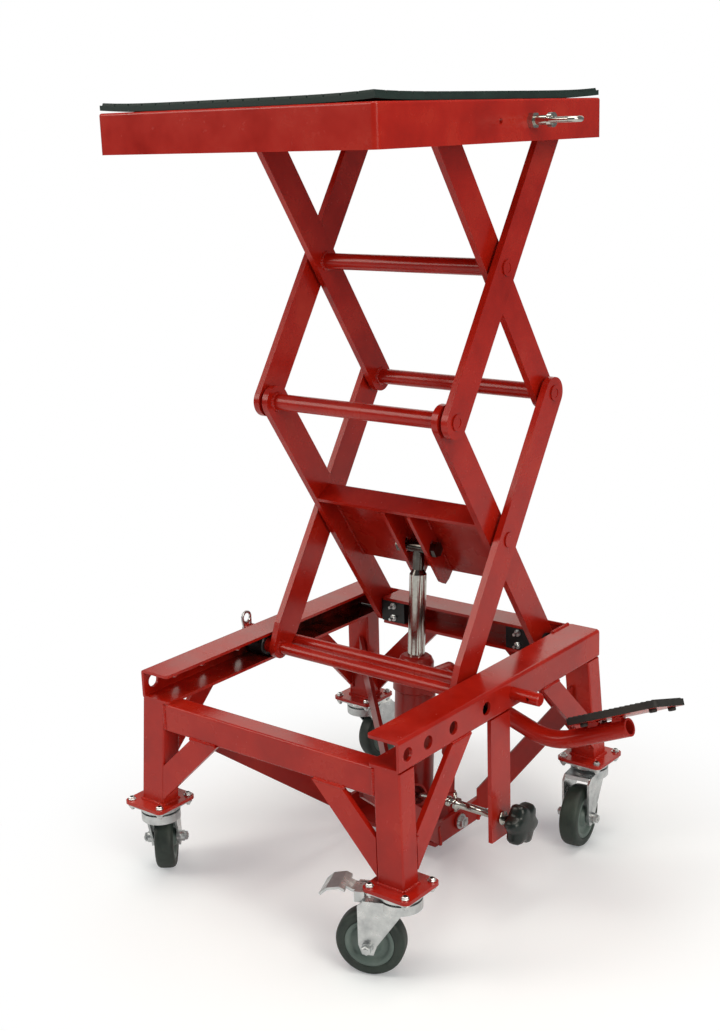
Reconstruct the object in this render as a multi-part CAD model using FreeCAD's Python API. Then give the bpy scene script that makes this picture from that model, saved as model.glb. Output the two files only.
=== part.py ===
"""Scissor lift table on casters: welded tube base, double scissor, foot-pumped jack.

Directions: X across the rails (pedal side +X), Y along the rails (slide end -Y,
pivot end +Y), Z up from the floor. Shapes are built about the middle of the scissor
and moved at the end so that the origin is the centre of the footprint on the floor.
"""
import FreeCAD, Part
import math
import os

V = FreeCAD.Vector
os.makedirs("parts", exist_ok=True)

# ---------------------------------------------------------------- driving dimensions
ORIGIN = V(57.525, 12.193, 0.0)   # footprint centre, measured from the scissor's middle

RAIL_HALF = 185.0             # outer face of each rail's web
RAIL_TOP, RAIL_H = 266.0, 35.0
RAIL_FLANGE, RAIL_T = 41.5, 3.5
FRONT_Y, REAR_Y = -200.0, 203.0
RAIL_BOTTOM = RAIL_TOP - RAIL_H

PIVOT_Z = RAIL_BOTTOM + RAIL_H / 2   # lower pivots and slide rollers
REAR_PIVOT_Y = 178.0
ARM_LENGTH = 364.3            # pin to pin
RAISED_ANGLE = math.radians(57.07)
SPAN = ARM_LENGTH * math.cos(RAISED_ANGLE)
RISE = ARM_LENGTH * math.sin(RAISED_ANGLE)
FRONT_PIVOT_Y = REAR_PIVOT_Y - SPAN
MID_Z = PIVOT_Z + RISE
TOP_Z = PIVOT_Z + 2 * RISE

ARM_W, ARM_T = 37.0, 8.0
INNER_X, OUTER_X = 116.0, 129.0      # inside faces of the inner and outer arms
PIN_R, PIN_GAP = 6.0, 0.05
TUBE_R = 9.5                         # cross tubes

LOCK_Y = (-185.0, -150.0, -104.5, -42.0)   # pairs that hold the table up
PARK_Y = 10.5                               # pair behind the rollers, where the bar waits
LOCK_HOLE_R, LOCK_BAR_R = 7.5, 7.42

LEG_X, LEG_Y, LEG_T = 34.0, 26.0, 2.5
SPLAY = 0.0524                       # legs lean out by this much per millimetre down
FOOT_TOP, FOOT_T, FOOT_SIZE = 105.0, 4.0, 60.0
FOOT_X, FOOT_Y = 177.0, 192.5
BRACE_T = 6.0

WHEEL_R, WHEEL_W, CASTER_TRAIL = 37.5, 24.0, 33.0
CASTERS = {                          # corner signs and the way each caster trails
    "front_left": (-1, -1, 130.0),
    "front_right": (1, -1, 203.5),
    "rear_left": (-1, 1, 80.0),
    "rear_right": (1, 1, -83.0),
}

TRAY_X, TRAY_FRONT, TRAY_REAR = 183.0, -204.0, 200.0
TRAY_TOP, TRAY_H, TRAY_T = 882.0, 42.0, 3.0
MAT_SHEET, MAT_BLOCK = 5.2, 2.6        # mat sheet, and the blocks standing on it
MAT_PITCH, MAT_GROOVE = 39.8, 1.7
MAT_CURL, MAT_EAR = 3.377, 80.0        # curl of each corner in degrees, and its leg

JACK_BASE = V(0.0, 66.0, 38.0)
CLEVIS_S, CLEVIS_N = 148.0, 6.5      # clevis pin along and in front of the lower arm
CLEVIS_BOLT_R, CLEVIS_SLOT_R = 5.0, 6.1
CLEVIS_SLOT = ((-4.6, 1.2), (4.1, -2.5))   # slot ends from the pin, along and out from the arm


# ---------------------------------------------------------------- small helpers
def save(name, shape):
    moved = shape.copy()
    moved.translate(ORIGIN * -1)
    if moved.ShapeType == "Compound" and len(moved.Solids) == 1:
        moved = moved.Solids[0]
    moved.exportStep("parts/%s.step" % name)


def box(x0, x1, y0, y1, z0, z1):
    return Part.makeBox(x1 - x0, y1 - y0, z1 - z0, V(x0, y0, z0))


def rod(radius, start, end):
    axis = end - start
    return Part.makeCylinder(radius, axis.Length, start, axis)


def ring_rod(outer, inner, start, end):
    return rod(outer, start, end).cut(rod(inner, start, end))


def face(points):
    return Part.Face(Part.makePolygon(list(points) + [points[0]]))


def clean(shape):
    return shape.removeSplitter()


def edges_along(shape, axis, test=lambda p: True):
    found = []
    for edge in shape.Edges:
        if edge.Curve.TypeId != "Part::GeomLine":
            continue
        way = edge.tangentAt(edge.FirstParameter)
        if abs(abs(way.dot(axis)) - 1) < 1e-4 and test(edge.CenterOfMass):
            found.append(edge)
    return found


def mirror_x(shape):
    return shape.mirror(V(0, 0, 0), V(1, 0, 0))


def mirror_y(shape, about=0.0):
    return shape.mirror(V(0, about, 0), V(0, 1, 0))


# ---------------------------------------------------------------- rails and cross members
def rail():
    """Folded C channel on the +X side, open towards the scissor."""
    x1, x0 = RAIL_HALF, RAIL_HALF - RAIL_FLANGE
    outer = box(x0, x1, FRONT_Y, REAR_Y, RAIL_BOTTOM, RAIL_TOP)
    outer = outer.makeFillet(4.0, edges_along(outer, V(0, 1, 0), lambda p: p.x > x1 - 1))
    inner = box(x0 - 1, x1 - RAIL_T, FRONT_Y - 1, REAR_Y + 1,
                RAIL_BOTTOM + RAIL_T, RAIL_TOP - RAIL_T)
    inner = inner.makeFillet(1.0, edges_along(inner, V(0, 1, 0), lambda p: p.x > x1 - 5))
    body = outer.cut(inner)
    corners = edges_along(body, V(0, 0, 1), lambda p: p.x < x0 + 1)
    body = body.makeFillet(5.0, corners)
    for y in LOCK_Y + (PARK_Y,):
        body = body.cut(rod(LOCK_HOLE_R, V(x1 - 10, y, PIVOT_Z), V(x1 + 10, y, PIVOT_Z)))
    return body


right_rail = rail()
save("right_rail", right_rail)
save("left_rail", mirror_x(right_rail))


def rear_channel():
    """The same channel stock turned to face the slide end, its web let into the rails."""
    wide, notch = RAIL_HALF - RAIL_FLANGE, 111.0
    outer = box(-wide, wide, REAR_Y - RAIL_FLANGE, REAR_Y, RAIL_BOTTOM, RAIL_TOP)
    outer = outer.makeFillet(4.0, edges_along(outer, V(1, 0, 0), lambda p: p.y > REAR_Y - 1))
    inner = box(-wide - 1, wide + 1, REAR_Y - RAIL_FLANGE - 1, REAR_Y - RAIL_T,
                RAIL_BOTTOM + RAIL_T, RAIL_TOP - RAIL_T)
    body = outer.cut(inner)
    for side in (-1, 1):
        x0, x1 = sorted((side * notch, side * (wide + 1)))
        body = body.cut(box(x0, x1, REAR_Y - RAIL_FLANGE - 1, REAR_Y - 5, 200, 300))
    tongue = RAIL_HALF - RAIL_T - 0.05
    web = box(-tongue, tongue, REAR_Y - RAIL_T, REAR_Y,
              RAIL_BOTTOM + RAIL_T + 1.0, RAIL_TOP - RAIL_T - 1.0)
    body = clean(body.fuse(web))
    for side in (-1, 1):
        for z in (PIVOT_Z - 8, PIVOT_Z + 8):
            body = body.cut(rod(3.3, V(side * 95, REAR_Y - 8, z), V(side * 95, REAR_Y + 2, z)))
    return body


save("rear_channel", rear_channel())


# ---------------------------------------------------------------- splayed legs
def leg_section(z, inset):
    lean = SPLAY * (RAIL_BOTTOM - z)
    x1, x0 = RAIL_HALF + lean - inset, RAIL_HALF + lean - LEG_X + inset
    y0, y1 = FRONT_Y - lean + inset, FRONT_Y - lean + LEG_Y - inset
    return Part.makePolygon([V(x0, y0, z), V(x1, y0, z), V(x1, y1, z), V(x0, y1, z),
                             V(x0, y0, z)])


def leg_tube(z0, z1, inset):
    return Part.makeLoft([leg_section(z0, inset), leg_section(z1, inset)], True, True)


def front_right_leg():
    tube = leg_tube(FOOT_TOP, RAIL_BOTTOM, 0.0)
    upright = [e for e in tube.Edges if e.BoundBox.ZLength > 50]
    tube = tube.makeFillet(2.0, upright)
    tube = tube.cut(leg_tube(FOOT_TOP - 1, RAIL_BOTTOM + 1, LEG_T))
    half = FOOT_SIZE / 2
    foot = box(FOOT_X - half, FOOT_X + half, -FOOT_Y - half, -FOOT_Y + half,
               FOOT_TOP - FOOT_T, FOOT_TOP)
    foot = foot.makeFillet(7.0, edges_along(foot, V(0, 0, 1)))
    for sx in (-1, 1):
        for sy in (-1, 1):
            p = V(FOOT_X + 23 * sx, -FOOT_Y + 23 * sy, 0)
            foot = foot.cut(rod(3.2, p + V(0, 0, 90), p + V(0, 0, 120)))
    return tube.fuse(foot)


LEG_SOLID = leg_tube(FOOT_TOP - 1, RAIL_BOTTOM + 1, 0.0)
first_leg = front_right_leg()
ACROSS = {"right": lambda s: s, "left": mirror_x}
ALONG = {"front": lambda s: s, "rear": lambda s: mirror_y(s, (FRONT_Y + REAR_Y) / 2)}
REAR_FOOT_Y = FRONT_Y + REAR_Y + FOOT_Y
for end, turn_end in ALONG.items():
    for side, turn_side in ACROSS.items():
        save("%s_%s_leg" % (end, side), turn_side(turn_end(first_leg)))

CROSSBAR_Z = 198.0


def crossbar():
    end = RAIL_HALF - LEG_X + 3
    outer = box(-end, end, FRONT_Y, FRONT_Y + LEG_Y, CROSSBAR_Z, RAIL_BOTTOM)
    outer = outer.makeFillet(2.5, edges_along(outer, V(1, 0, 0)))
    t = LEG_T
    outer = outer.cut(box(-end - 1, end + 1, FRONT_Y + t, FRONT_Y + LEG_Y - t,
                          CROSSBAR_Z + t, RAIL_BOTTOM - t))
    return outer.cut(LEG_SOLID).cut(mirror_x(LEG_SOLID))


save("front_crossbar", crossbar())


# ---------------------------------------------------------------- corner and side braces
def leaned(x, y, z):
    """A point that leans with the front right leg as it goes down."""
    lean = SPLAY * (RAIL_BOTTOM - z)
    return V(x + lean, y - lean, z)


def corner_brace(top_z, foot_run):
    """Flat bar in the end face, from the cross member down to the leg."""
    leg_in = RAIL_HALF - LEG_X + 1.5
    low, high = 111.0, 153.0
    rise = top_z - low
    slip = SPLAY * (RAIL_BOTTOM - top_z)
    points = [leaned(leg_in, FRONT_Y, low), leaned(leg_in, FRONT_Y, high),
              leaned(leg_in - (top_z - high) * foot_run - slip, FRONT_Y, top_z),
              leaned(leg_in - rise * foot_run - slip, FRONT_Y, top_z)]
    return face(points).extrude(V(0, BRACE_T, 0)).cut(LEG_SOLID)


def side_brace():
    """Flat bar in the side face, from the rail down to the leg."""
    leg_in = FRONT_Y + LEG_Y - 1.5
    low, high, top_z = 118.0, 157.0, RAIL_BOTTOM
    points = [leaned(RAIL_HALF, leg_in, low), leaned(RAIL_HALF, leg_in, high),
              leaned(RAIL_HALF, leg_in + (top_z - high) * 0.93, top_z),
              leaned(RAIL_HALF, leg_in + (top_z - low) * 0.93, top_z)]
    return face(points).extrude(V(-BRACE_T, 0, 0)).cut(LEG_SOLID)


front_corner = corner_brace(CROSSBAR_Z, 0.96)
rear_corner = corner_brace(RAIL_BOTTOM, 0.96)
side_one = side_brace()
for side, turn_side in ACROSS.items():
    save("front_%s_corner_brace" % side, turn_side(front_corner))
    save("rear_%s_corner_brace" % side, turn_side(ALONG["rear"](rear_corner)))
    for end, turn_end in ALONG.items():
        save("%s_%s_side_brace" % (end, side), turn_side(turn_end(side_one)))


# ---------------------------------------------------------------- jack cradle
CRADLE_X, CRADLE_Y0, CRADLE_Y1, CRADLE_Z = 70.0, 20.0, 115.0, 21.0
CRADLE_T = 5.0
HANGER_W = 26.0


def hanger(x0, y0, z0, x1, y1, z1):
    """Upright flat bar sloping between two points of its lower edge."""
    way = V(x1 - x0, y1 - y0, 0)
    way.normalize()
    thick = V(-way.y, way.x, 0) * CRADLE_T
    deep = HANGER_W / math.cos(math.atan2(z1 - z0, math.hypot(x1 - x0, y1 - y0)))
    points = [V(x0, y0, z0), V(x1, y1, z1), V(x1, y1, z1 + deep), V(x0, y0, z0 + deep)]
    bar = face(points).extrude(thick)
    bar.translate(thick * -0.5)
    return bar


def cradle():
    x, y0, y1, z, t = CRADLE_X, CRADLE_Y0, CRADLE_Y1, CRADLE_Z, CRADLE_T
    tray = box(-x, x, y0, y1, z, z + 30)
    tray = tray.makeFillet(4.0, edges_along(tray, V(0, 1, 0), lambda p: p.z < z + 1))
    tray = tray.cut(box(-x + t, x - t, y0 - 1, y1 + 1, z + t, z + 40))
    body = tray
    front = hanger(x - 2.5, y0 + 6, z + 1, 112, FRONT_Y + LEG_Y + 2, CROSSBAR_Z - 22)
    rear = hanger(x - 2.5, y1 - 6, z + 1, 163, 177, 158)
    for bar in (front, rear, mirror_x(front), mirror_x(rear)):
        body = body.fuse(bar)
    body = body.cut(box(-200, 200, -200, FRONT_Y + LEG_Y, CROSSBAR_Z, RAIL_BOTTOM))
    body = body.cut(box(-x + t, x - t, y0 - 1, y1 + 1, z + t, z + 60))
    for turn_end in ALONG.values():
        solid = turn_end(LEG_SOLID)
        body = body.cut(solid).cut(mirror_x(solid))
    bore = JACK_BASE + V(0, 0, 0)
    body = body.cut(rod(PIN_R + PIN_GAP, bore + V(-90, 0, 0), bore + V(90, 0, 0)))
    return clean(body)


save("jack_cradle", cradle())

# bracket under the right rail that steadies the release rod
BRACKET_Y0, BRACKET_Y1, BRACKET_LOW = -34.0, 4.0, 84.0
ROD_Y, ROD_Z = -14.0, 108.0


def rod_bracket():
    plate = face([V(RAIL_HALF - 5, BRACKET_Y0, BRACKET_LOW), V(RAIL_HALF - 5, BRACKET_Y1, BRACKET_LOW),
                  V(RAIL_HALF - 5, BRACKET_Y1, RAIL_BOTTOM),
                  V(RAIL_HALF - 5, BRACKET_Y0, RAIL_BOTTOM)]).extrude(V(5, 0, 0))
    return plate.cut(rod(6.0, V(150, ROD_Y, ROD_Z), V(200, ROD_Y, ROD_Z)))


save("release_rod_bracket", rod_bracket())


def hinge_bracket():
    """Bent plate bolted across the mouth of the rear channel, with the arm's stub pin."""
    back, front = REAR_Y - RAIL_T, REAR_Y - RAIL_FLANGE + 0.5
    low, high = RAIL_BOTTOM + RAIL_T + 0.2, RAIL_TOP - RAIL_T - 0.2
    body = box(78, 113.6, front, front + 4.5, low, high)
    body = body.fuse(box(108, 113.6, front, back, low, high))
    body = body.fuse(box(78, 82.5, front, back, low, high))
    body = body.fuse(rod(PIN_R, V(110, REAR_PIVOT_Y, PIVOT_Z),
                         V(INNER_X + ARM_T + 3, REAR_PIVOT_Y, PIVOT_Z)))
    body = body.fuse(rod(9.0, V(INNER_X + ARM_T + 0.4, REAR_PIVOT_Y, PIVOT_Z),
                         V(INNER_X + ARM_T + 3.6, REAR_PIVOT_Y, PIVOT_Z)))
    body = body.fuse(rod(9.0, V(113, REAR_PIVOT_Y, PIVOT_Z),
                         V(INNER_X - 0.4, REAR_PIVOT_Y, PIVOT_Z)))
    for z in (PIVOT_Z - 8, PIVOT_Z + 8):
        body = body.cut(rod(3.3, V(95, front - 8, z), V(95, front + 12, z)))
    return clean(body)


save("hinge_bracket_right", hinge_bracket())
save("hinge_bracket_left", mirror_x(hinge_bracket()))


# ---------------------------------------------------------------- casters
HEAD_TOP = FOOT_TOP - FOOT_T
AXLE_R = 4.0


def caster_head():
    half = 28.0
    plate = box(-half, half, -half, half, HEAD_TOP - 2.5, HEAD_TOP)
    plate = plate.makeFillet(8.0, edges_along(plate, V(0, 0, 1)))
    for sx in (-1, 1):
        for sy in (-1, 1):
            plate = plate.cut(rod(3.2, V(23 * sx, 23 * sy, 80), V(23 * sx, 23 * sy, 120)))
    profile = [V(0, 0, 98.5), V(21, 0, 98.5), V(23, 0, 95), V(23, 0, 92.5), V(16, 0, 92.5),
               V(16, 0, 90.5), V(5, 0, 90.5), V(5, 0, 84.6), V(9, 0, 84.6), V(9, 0, 81.5),
               V(0, 0, 81.5)]
    race = face(profile).revolve(V(0, 0, 0), V(0, 0, 1), 360)
    return clean(plate.fuse(race))


def caster_fork():
    """Stamped yoke: round crown under the race and two legs drawn back to the axle."""
    inside = WHEEL_W / 2 + 3.0
    crown = rod(23.0, V(0, 0, 85.0), V(0, 0, 90.0))
    crown = crown.fuse(ring_rod(23.0, 20.5, V(0, 0, 80.0), V(0, 0, 86.0)))
    axle = V(CASTER_TRAIL, 0, WHEEL_R)
    for side in (-1, 1):
        y = side * inside
        outline = [V(-13, y, 90), V(36, y, 90), V(43, y, 84), V(CASTER_TRAIL + 10, y, WHEEL_R + 2),
                   V(CASTER_TRAIL + 6, y, WHEEL_R - 9), V(CASTER_TRAIL - 6, y, WHEEL_R - 9),
                   V(CASTER_TRAIL - 10, y, WHEEL_R + 2)]
        crown = crown.fuse(face(outline).extrude(V(0, side * 2.5, 0)))
        hub0 = axle + V(0, y + side * 2.4, 0)
        crown = crown.fuse(rod(6.5, hub0, hub0 + V(0, side * 4.6, 0)))
        crown = crown.fuse(rod(7.0, axle + V(0, y - side * 0.1, 0), axle + V(0, y - side * 2.4, 0)))
    roof = box(0, 38, -inside - 1, inside + 1, 85.0, 90.0)
    body = crown.fuse(roof)
    body = body.fuse(rod(AXLE_R, axle + V(0, -inside - 1, 0), axle + V(0, inside + 1, 0)))
    body = body.cut(rod(5.3, V(0, 0, 70), V(0, 0, 95)))
    body = body.cut(rod(10.5, V(0, 0, 70), V(0, 0, 84.9)))
    return clean(body)


def caster_wheel():
    """Moulded tyre on a stepped hub, bored for the axle."""
    r, w = WHEEL_R, WHEEL_W / 2
    profile = [V(AXLE_R + 0.06, 0, 0), V(AXLE_R + 0.06, w, 0), V(11, w, 0), V(12, w - 5, 0),
               V(19, w - 6, 0), V(20, w - 2, 0), V(27, w - 2, 0), V(28, w - 1, 0),
               V(r - 3.5, w - 1, 0), V(r - 1, w - 3, 0), V(r, w - 6, 0)]
    lower = [V(p.x, -p.y, 0) for p in reversed(profile[1:])]
    ring = face(profile + lower).revolve(V(0, 0, 0), V(0, 1, 0), 360)
    ring.rotate(V(0, 0, 0), V(1, 0, 0), 0)
    ring.translate(V(CASTER_TRAIL, 0, WHEEL_R))
    return ring


def brake_pedal():
    """Pressed tread of the brake, hinged above the wheel."""
    line = [V(39, 0, 97), V(50, 0, 98.5), V(62, 0, 104), V(76, 0, 101), V(84, 0, 93.5)]
    low = [V(82, 0, 92), V(75, 0, 98.5), V(62, 0, 101), V(51, 0, 95.5), V(39, 0, 93.5)]
    tread = face(line + low).extrude(V(0, 34, 0))
    tread.translate(V(0, -17, 0))
    tread = tread.cut(box(36, 56, -20, -9, 80, 110)).cut(box(36, 56, 9, 20, 80, 110))
    knuckle = rod(3.6, V(42, -9, 94.2), V(42, 9, 94.2))
    body = tread.fuse(knuckle)
    return clean(body.cut(rod(1.56, V(42, -20, 94.2), V(42, 20, 94.2))))


def fork_with_brake(fork):
    """The braked fork also carries two small ears and the pedal's hinge pin."""
    for side in (-1, 1):
        y0, y1 = sorted((side * 9.6, side * 13.0))
        fork = fork.fuse(box(36, 47, y0, y1, 86, 98))
    fork = fork.fuse(rod(1.5, V(42, -11, 94.2), V(42, 11, 94.2)))
    return clean(fork)


def place_caster(shape, key):
    sx, sy, way = CASTERS[key]
    y = -FOOT_Y if sy < 0 else REAR_FOOT_Y
    moved = shape.copy()
    moved.rotate(V(0, 0, 0), V(0, 0, 1), way)
    moved.translate(V(sx * FOOT_X, y, 0))
    return moved


plain_fork, head, wheel = caster_fork(), caster_head(), caster_wheel()
for key, (sx, sy, way) in CASTERS.items():
    y = -FOOT_Y if sy < 0 else REAR_FOOT_Y
    still = head.copy()
    still.translate(V(sx * FOOT_X, y, 0))
    save("caster_head_" + key, still)
    fork = fork_with_brake(plain_fork) if key == "front_right" else plain_fork
    save("caster_fork_" + key, place_caster(fork, key))
    save("caster_wheel_" + key, place_caster(wheel, key))
save("brake_pedal", place_caster(brake_pedal(), "front_right"))


# ---------------------------------------------------------------- scissor arms
def arm(x, start, end, bores, start_r=ARM_W / 2):
    """Flat bar with full round ends between two pins given as (y, z)."""
    a, b = V(x, start[0], start[1]), V(x, end[0], end[1])
    way = (b - a)
    way.normalize()
    side = V(0, -way.z, way.y)
    wide = side * (ARM_W / 2)
    narrow = side * start_r
    shoulder = a + way * 26
    outline = [Part.makeLine(shoulder + wide, b + wide),
               Part.Arc(b + wide, b + way * (ARM_W / 2), b - wide).toShape(),
               Part.makeLine(b - wide, shoulder - wide),
               Part.makeLine(shoulder - wide, a - narrow),
               Part.Arc(a - narrow, a - way * start_r, a + narrow).toShape(),
               Part.makeLine(a + narrow, shoulder + wide)]
    bar = Part.Face(Part.Wire(outline)).extrude(V(ARM_T, 0, 0))
    for at in bores:
        bar = bar.cut(rod(PIN_R + PIN_GAP, V(x - 1, at[0], at[1]), V(x + ARM_T + 1, at[0], at[1])))
    return bar


REAR_LOW, FRONT_LOW = (REAR_PIVOT_Y, PIVOT_Z), (FRONT_PIVOT_Y, PIVOT_Z)
REAR_MID, FRONT_MID = (REAR_PIVOT_Y, MID_Z), (FRONT_PIVOT_Y, MID_Z)
REAR_TOP, FRONT_TOP = (REAR_PIVOT_Y, TOP_Z), (FRONT_PIVOT_Y, TOP_Z)
LOW_CENTRE = ((REAR_PIVOT_Y + FRONT_PIVOT_Y) / 2, PIVOT_Z + RISE / 2)
HIGH_CENTRE = (LOW_CENTRE[0], MID_Z + RISE / 2)


def stub_pin(at, x0, x1, head):
    """Pivot stub welded in one arm, with a spacing collar and a flush riveted head."""
    body = rod(PIN_R, V(x0, at[0], at[1]), V(x1, at[0], at[1]))
    collar = rod(10.0, V(INNER_X + ARM_T, at[0], at[1]), V(OUTER_X - 0.4, at[0], at[1]))
    body = body.fuse(collar)
    if head:
        body = body.fuse(rod(9.0, V(OUTER_X + ARM_T + 0.4, at[0], at[1]),
                             V(OUTER_X + ARM_T + 1.6, at[0], at[1])))
    return body


lower_inner = arm(INNER_X, REAR_LOW, FRONT_MID, (REAR_LOW, FRONT_MID))
lower_inner = lower_inner.fuse(stub_pin(LOW_CENTRE, INNER_X + 1, OUTER_X + ARM_T + 1, True))
lower_outer = arm(OUTER_X, FRONT_LOW, REAR_MID, (FRONT_LOW, LOW_CENTRE, REAR_MID), 13.5)
upper_inner = arm(INNER_X, REAR_MID, FRONT_TOP, (REAR_MID, HIGH_CENTRE, FRONT_TOP))
upper_outer = arm(OUTER_X, FRONT_MID, REAR_TOP, (FRONT_MID, HIGH_CENTRE, REAR_TOP))
for name, one in (("lower_inner", lower_inner), ("lower_outer", lower_outer),
                  ("upper_inner", upper_inner), ("upper_outer", upper_outer)):
    save(name + "_arm_right", clean(one))
    save(name + "_arm_left", clean(mirror_x(one)))


def cross_tube(at):
    """Round tube between the inner arms with turned ends for the outer arms."""
    p0, p1 = V(-INNER_X, at[0], at[1]), V(INNER_X, at[0], at[1])
    body = rod(TUBE_R, p0, p1)
    for side in (-1, 1):
        a = V(side * (INNER_X - 1), at[0], at[1])
        body = body.fuse(rod(PIN_R, a, V(side * (OUTER_X + ARM_T + 1), at[0], at[1])))
        body = body.fuse(ring_rod(10.0, PIN_R - 0.5, V(side * (INNER_X + ARM_T), at[0], at[1]),
                                  V(side * (OUTER_X - 0.4), at[0], at[1])))
        body = body.fuse(ring_rod(9.0, PIN_R - 0.5, V(side * (OUTER_X + ARM_T + 0.4), at[0], at[1]),
                                  V(side * (OUTER_X + ARM_T + 1.6), at[0], at[1])))
    return clean(body)


save("front_mid_tube", cross_tube(FRONT_MID))
save("rear_mid_tube", cross_tube(REAR_MID))
save("upper_centre_tube", cross_tube(HIGH_CENTRE))


# ---------------------------------------------------------------- lifting angle and clevis
def along_arm(x, s, n):
    """Point on the lower inner arm: s up from its pivot, n out to its lower face."""
    c, k = math.cos(RAISED_ANGLE), math.sin(RAISED_ANGLE)
    return V(x, REAR_PIVOT_Y - s * c - n * k, PIVOT_Z + s * k - n * c)


def arm_plate(x0, x1, outline):
    return face([along_arm(x0, s, n) for s, n in outline]).extrude(V(x1 - x0, 0, 0))


def lifting_angle():
    back, front, low, high, t = -11.5, 18.0, 95.0, 221.0, 5.0
    body = arm_plate(-INNER_X, INNER_X, [(low, back), (high - 3, back), (high, back + 3),
                                         (high, front), (high - t, front),
                                         (high - t, back + t), (low, back + t)])
    for side in (-1, 1):
        x0, x1 = sorted((side * 16.0, side * 21.0))
        ear = arm_plate(x0, x1, [(high - t, back + t), (high - t, 14), (high - 9, 18),
                                 (low + 6, 18), (low - 3, 13), (low - 3, 4), (low, back + t)])
        body = body.fuse(ear)
    ends = [along_arm(-40, CLEVIS_S + ds, CLEVIS_N + dn) for ds, dn in CLEVIS_SLOT]
    way = ends[1] - ends[0]
    way.normalize()
    across = V(0, -way.z, way.y) * CLEVIS_SLOT_R
    slot = face([ends[0] + across, ends[1] + across, ends[1] - across, ends[0] - across])
    slot = slot.extrude(V(80, 0, 0))
    for end in ends:
        slot = slot.fuse(rod(CLEVIS_SLOT_R, end, end + V(80, 0, 0)))
    return clean(body.cut(slot))


save("lifting_angle", lifting_angle())
CLEVIS = along_arm(0, CLEVIS_S, CLEVIS_N)


def hexagon(radius, x, centre):
    points = []
    for i in range(6):
        a = math.radians(60 * i)
        points.append(V(x, centre.y + radius * math.cos(a), centre.z + radius * math.sin(a)))
    return face(points)


# ---------------------------------------------------------------- slide rollers
ROLLER_R = 13.7
ROLLER_X0, ROLLER_X1 = 149.0, 173.0
SLIDE_TUBE_R = 7.5


def roller_bar(at, tube_half):
    """Tube across the outer arms with stub axles running on into the rails."""
    body = rod(SLIDE_TUBE_R, V(-tube_half, at[0], at[1]), V(tube_half, at[0], at[1]))
    for side in (-1, 1):
        a = side * (tube_half - 1)
        body = body.fuse(rod(PIN_R, V(a, at[0], at[1]), V(side * 176, at[0], at[1])))
        body = body.fuse(ring_rod(9.5, PIN_R - 0.5, V(side * (OUTER_X + ARM_T + 0.2), at[0], at[1]),
                                  V(side * (ROLLER_X0 - 0.4), at[0], at[1])))
        body = body.fuse(ring_rod(9.0, PIN_R - 0.5, V(side * (ROLLER_X1 + 0.4), at[0], at[1]),
                                  V(side * 176, at[0], at[1])))
    return clean(body)


def roller(at):
    body = rod(ROLLER_R, V(ROLLER_X0, at[0], at[1]), V(ROLLER_X1, at[0], at[1]))
    rims = [e for e in body.Edges if abs(e.CenterOfMass.x - ROLLER_X0) < 0.01
            or abs(e.CenterOfMass.x - ROLLER_X1) < 0.01]
    body = body.makeChamfer(1.2, rims)
    return body.cut(rod(PIN_R + 0.06, V(140, at[0], at[1]), V(180, at[0], at[1])))


save("slide_bar", roller_bar(FRONT_LOW, OUTER_X))
low_roller = roller(FRONT_LOW)
save("slide_roller_right", low_roller)
save("slide_roller_left", mirror_x(low_roller))


def top_roller_shaft():
    """Shaft across the inner arms whose turned ends roll under the table."""
    at = FRONT_TOP
    body = rod(TUBE_R, V(-INNER_X, at[0], at[1]), V(INNER_X, at[0], at[1]))
    for side in (-1, 1):
        body = body.fuse(rod(PIN_R, V(side * (INNER_X - 1), at[0], at[1]),
                             V(side * 150, at[0], at[1])))
        body = body.fuse(rod(14.0, V(side * 128, at[0], at[1]), V(side * 150, at[0], at[1])))
    return clean(body)


save("top_roller_shaft", top_roller_shaft())


# ---------------------------------------------------------------- table
def tray():
    """Folded steel tray with welded corners, runner strips and hinge lugs."""
    low = TRAY_TOP - TRAY_H
    outer = box(-TRAY_X, TRAY_X, TRAY_FRONT, TRAY_REAR, low, TRAY_TOP)
    outer = outer.makeFillet(6.0, edges_along(outer, V(0, 0, 1)))
    tops = [e for e in outer.Edges if abs(e.CenterOfMass.z - TRAY_TOP) < 0.01]
    outer = outer.makeFillet(2.5, tops)
    t = TRAY_T
    inner = box(-TRAY_X + t, TRAY_X - t, TRAY_FRONT + t, TRAY_REAR - t, low - 1, TRAY_TOP - t)
    inner = inner.makeFillet(3.0, edges_along(inner, V(0, 0, 1)))
    body = outer.cut(inner)
    under = TRAY_TOP - t
    for side in (-1, 1):
        x0, x1 = sorted((side * 126, side * 152))
        body = body.fuse(box(x0, x1, TRAY_FRONT + t, 40, under - 4.8, under))
        x0, x1 = sorted((side * (OUTER_X + ARM_T + 5), side * (OUTER_X + ARM_T + 11)))
        lug = box(x0, x1, REAR_PIVOT_Y - 17, TRAY_REAR - t, TOP_Z - 13, under)
        body = body.fuse(lug)
        stub = rod(PIN_R, V(side * (OUTER_X - 2), REAR_TOP[0], REAR_TOP[1]),
                   V(side * (OUTER_X + ARM_T + 8), REAR_TOP[0], REAR_TOP[1]))
        body = body.fuse(stub)
        body = body.fuse(rod(9.0, V(side * (OUTER_X + ARM_T + 0.4), REAR_TOP[0], REAR_TOP[1]),
                             V(side * (OUTER_X + ARM_T + 6), REAR_TOP[0], REAR_TOP[1])))
        body = body.fuse(rod(9.0, V(side * (OUTER_X - 2.4), REAR_TOP[0], REAR_TOP[1]),
                             V(side * (OUTER_X - 0.4), REAR_TOP[0], REAR_TOP[1])))
    body = body.cut(rod(5.2, V(170, 54.5, 860.5), V(190, 54.5, 860.5)))
    body = body.cut(rod(3.0, V(170, -1.6, 861.0), V(190, -1.6, 861.0)))
    return clean(body)


save("table_tray", tray())


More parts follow.
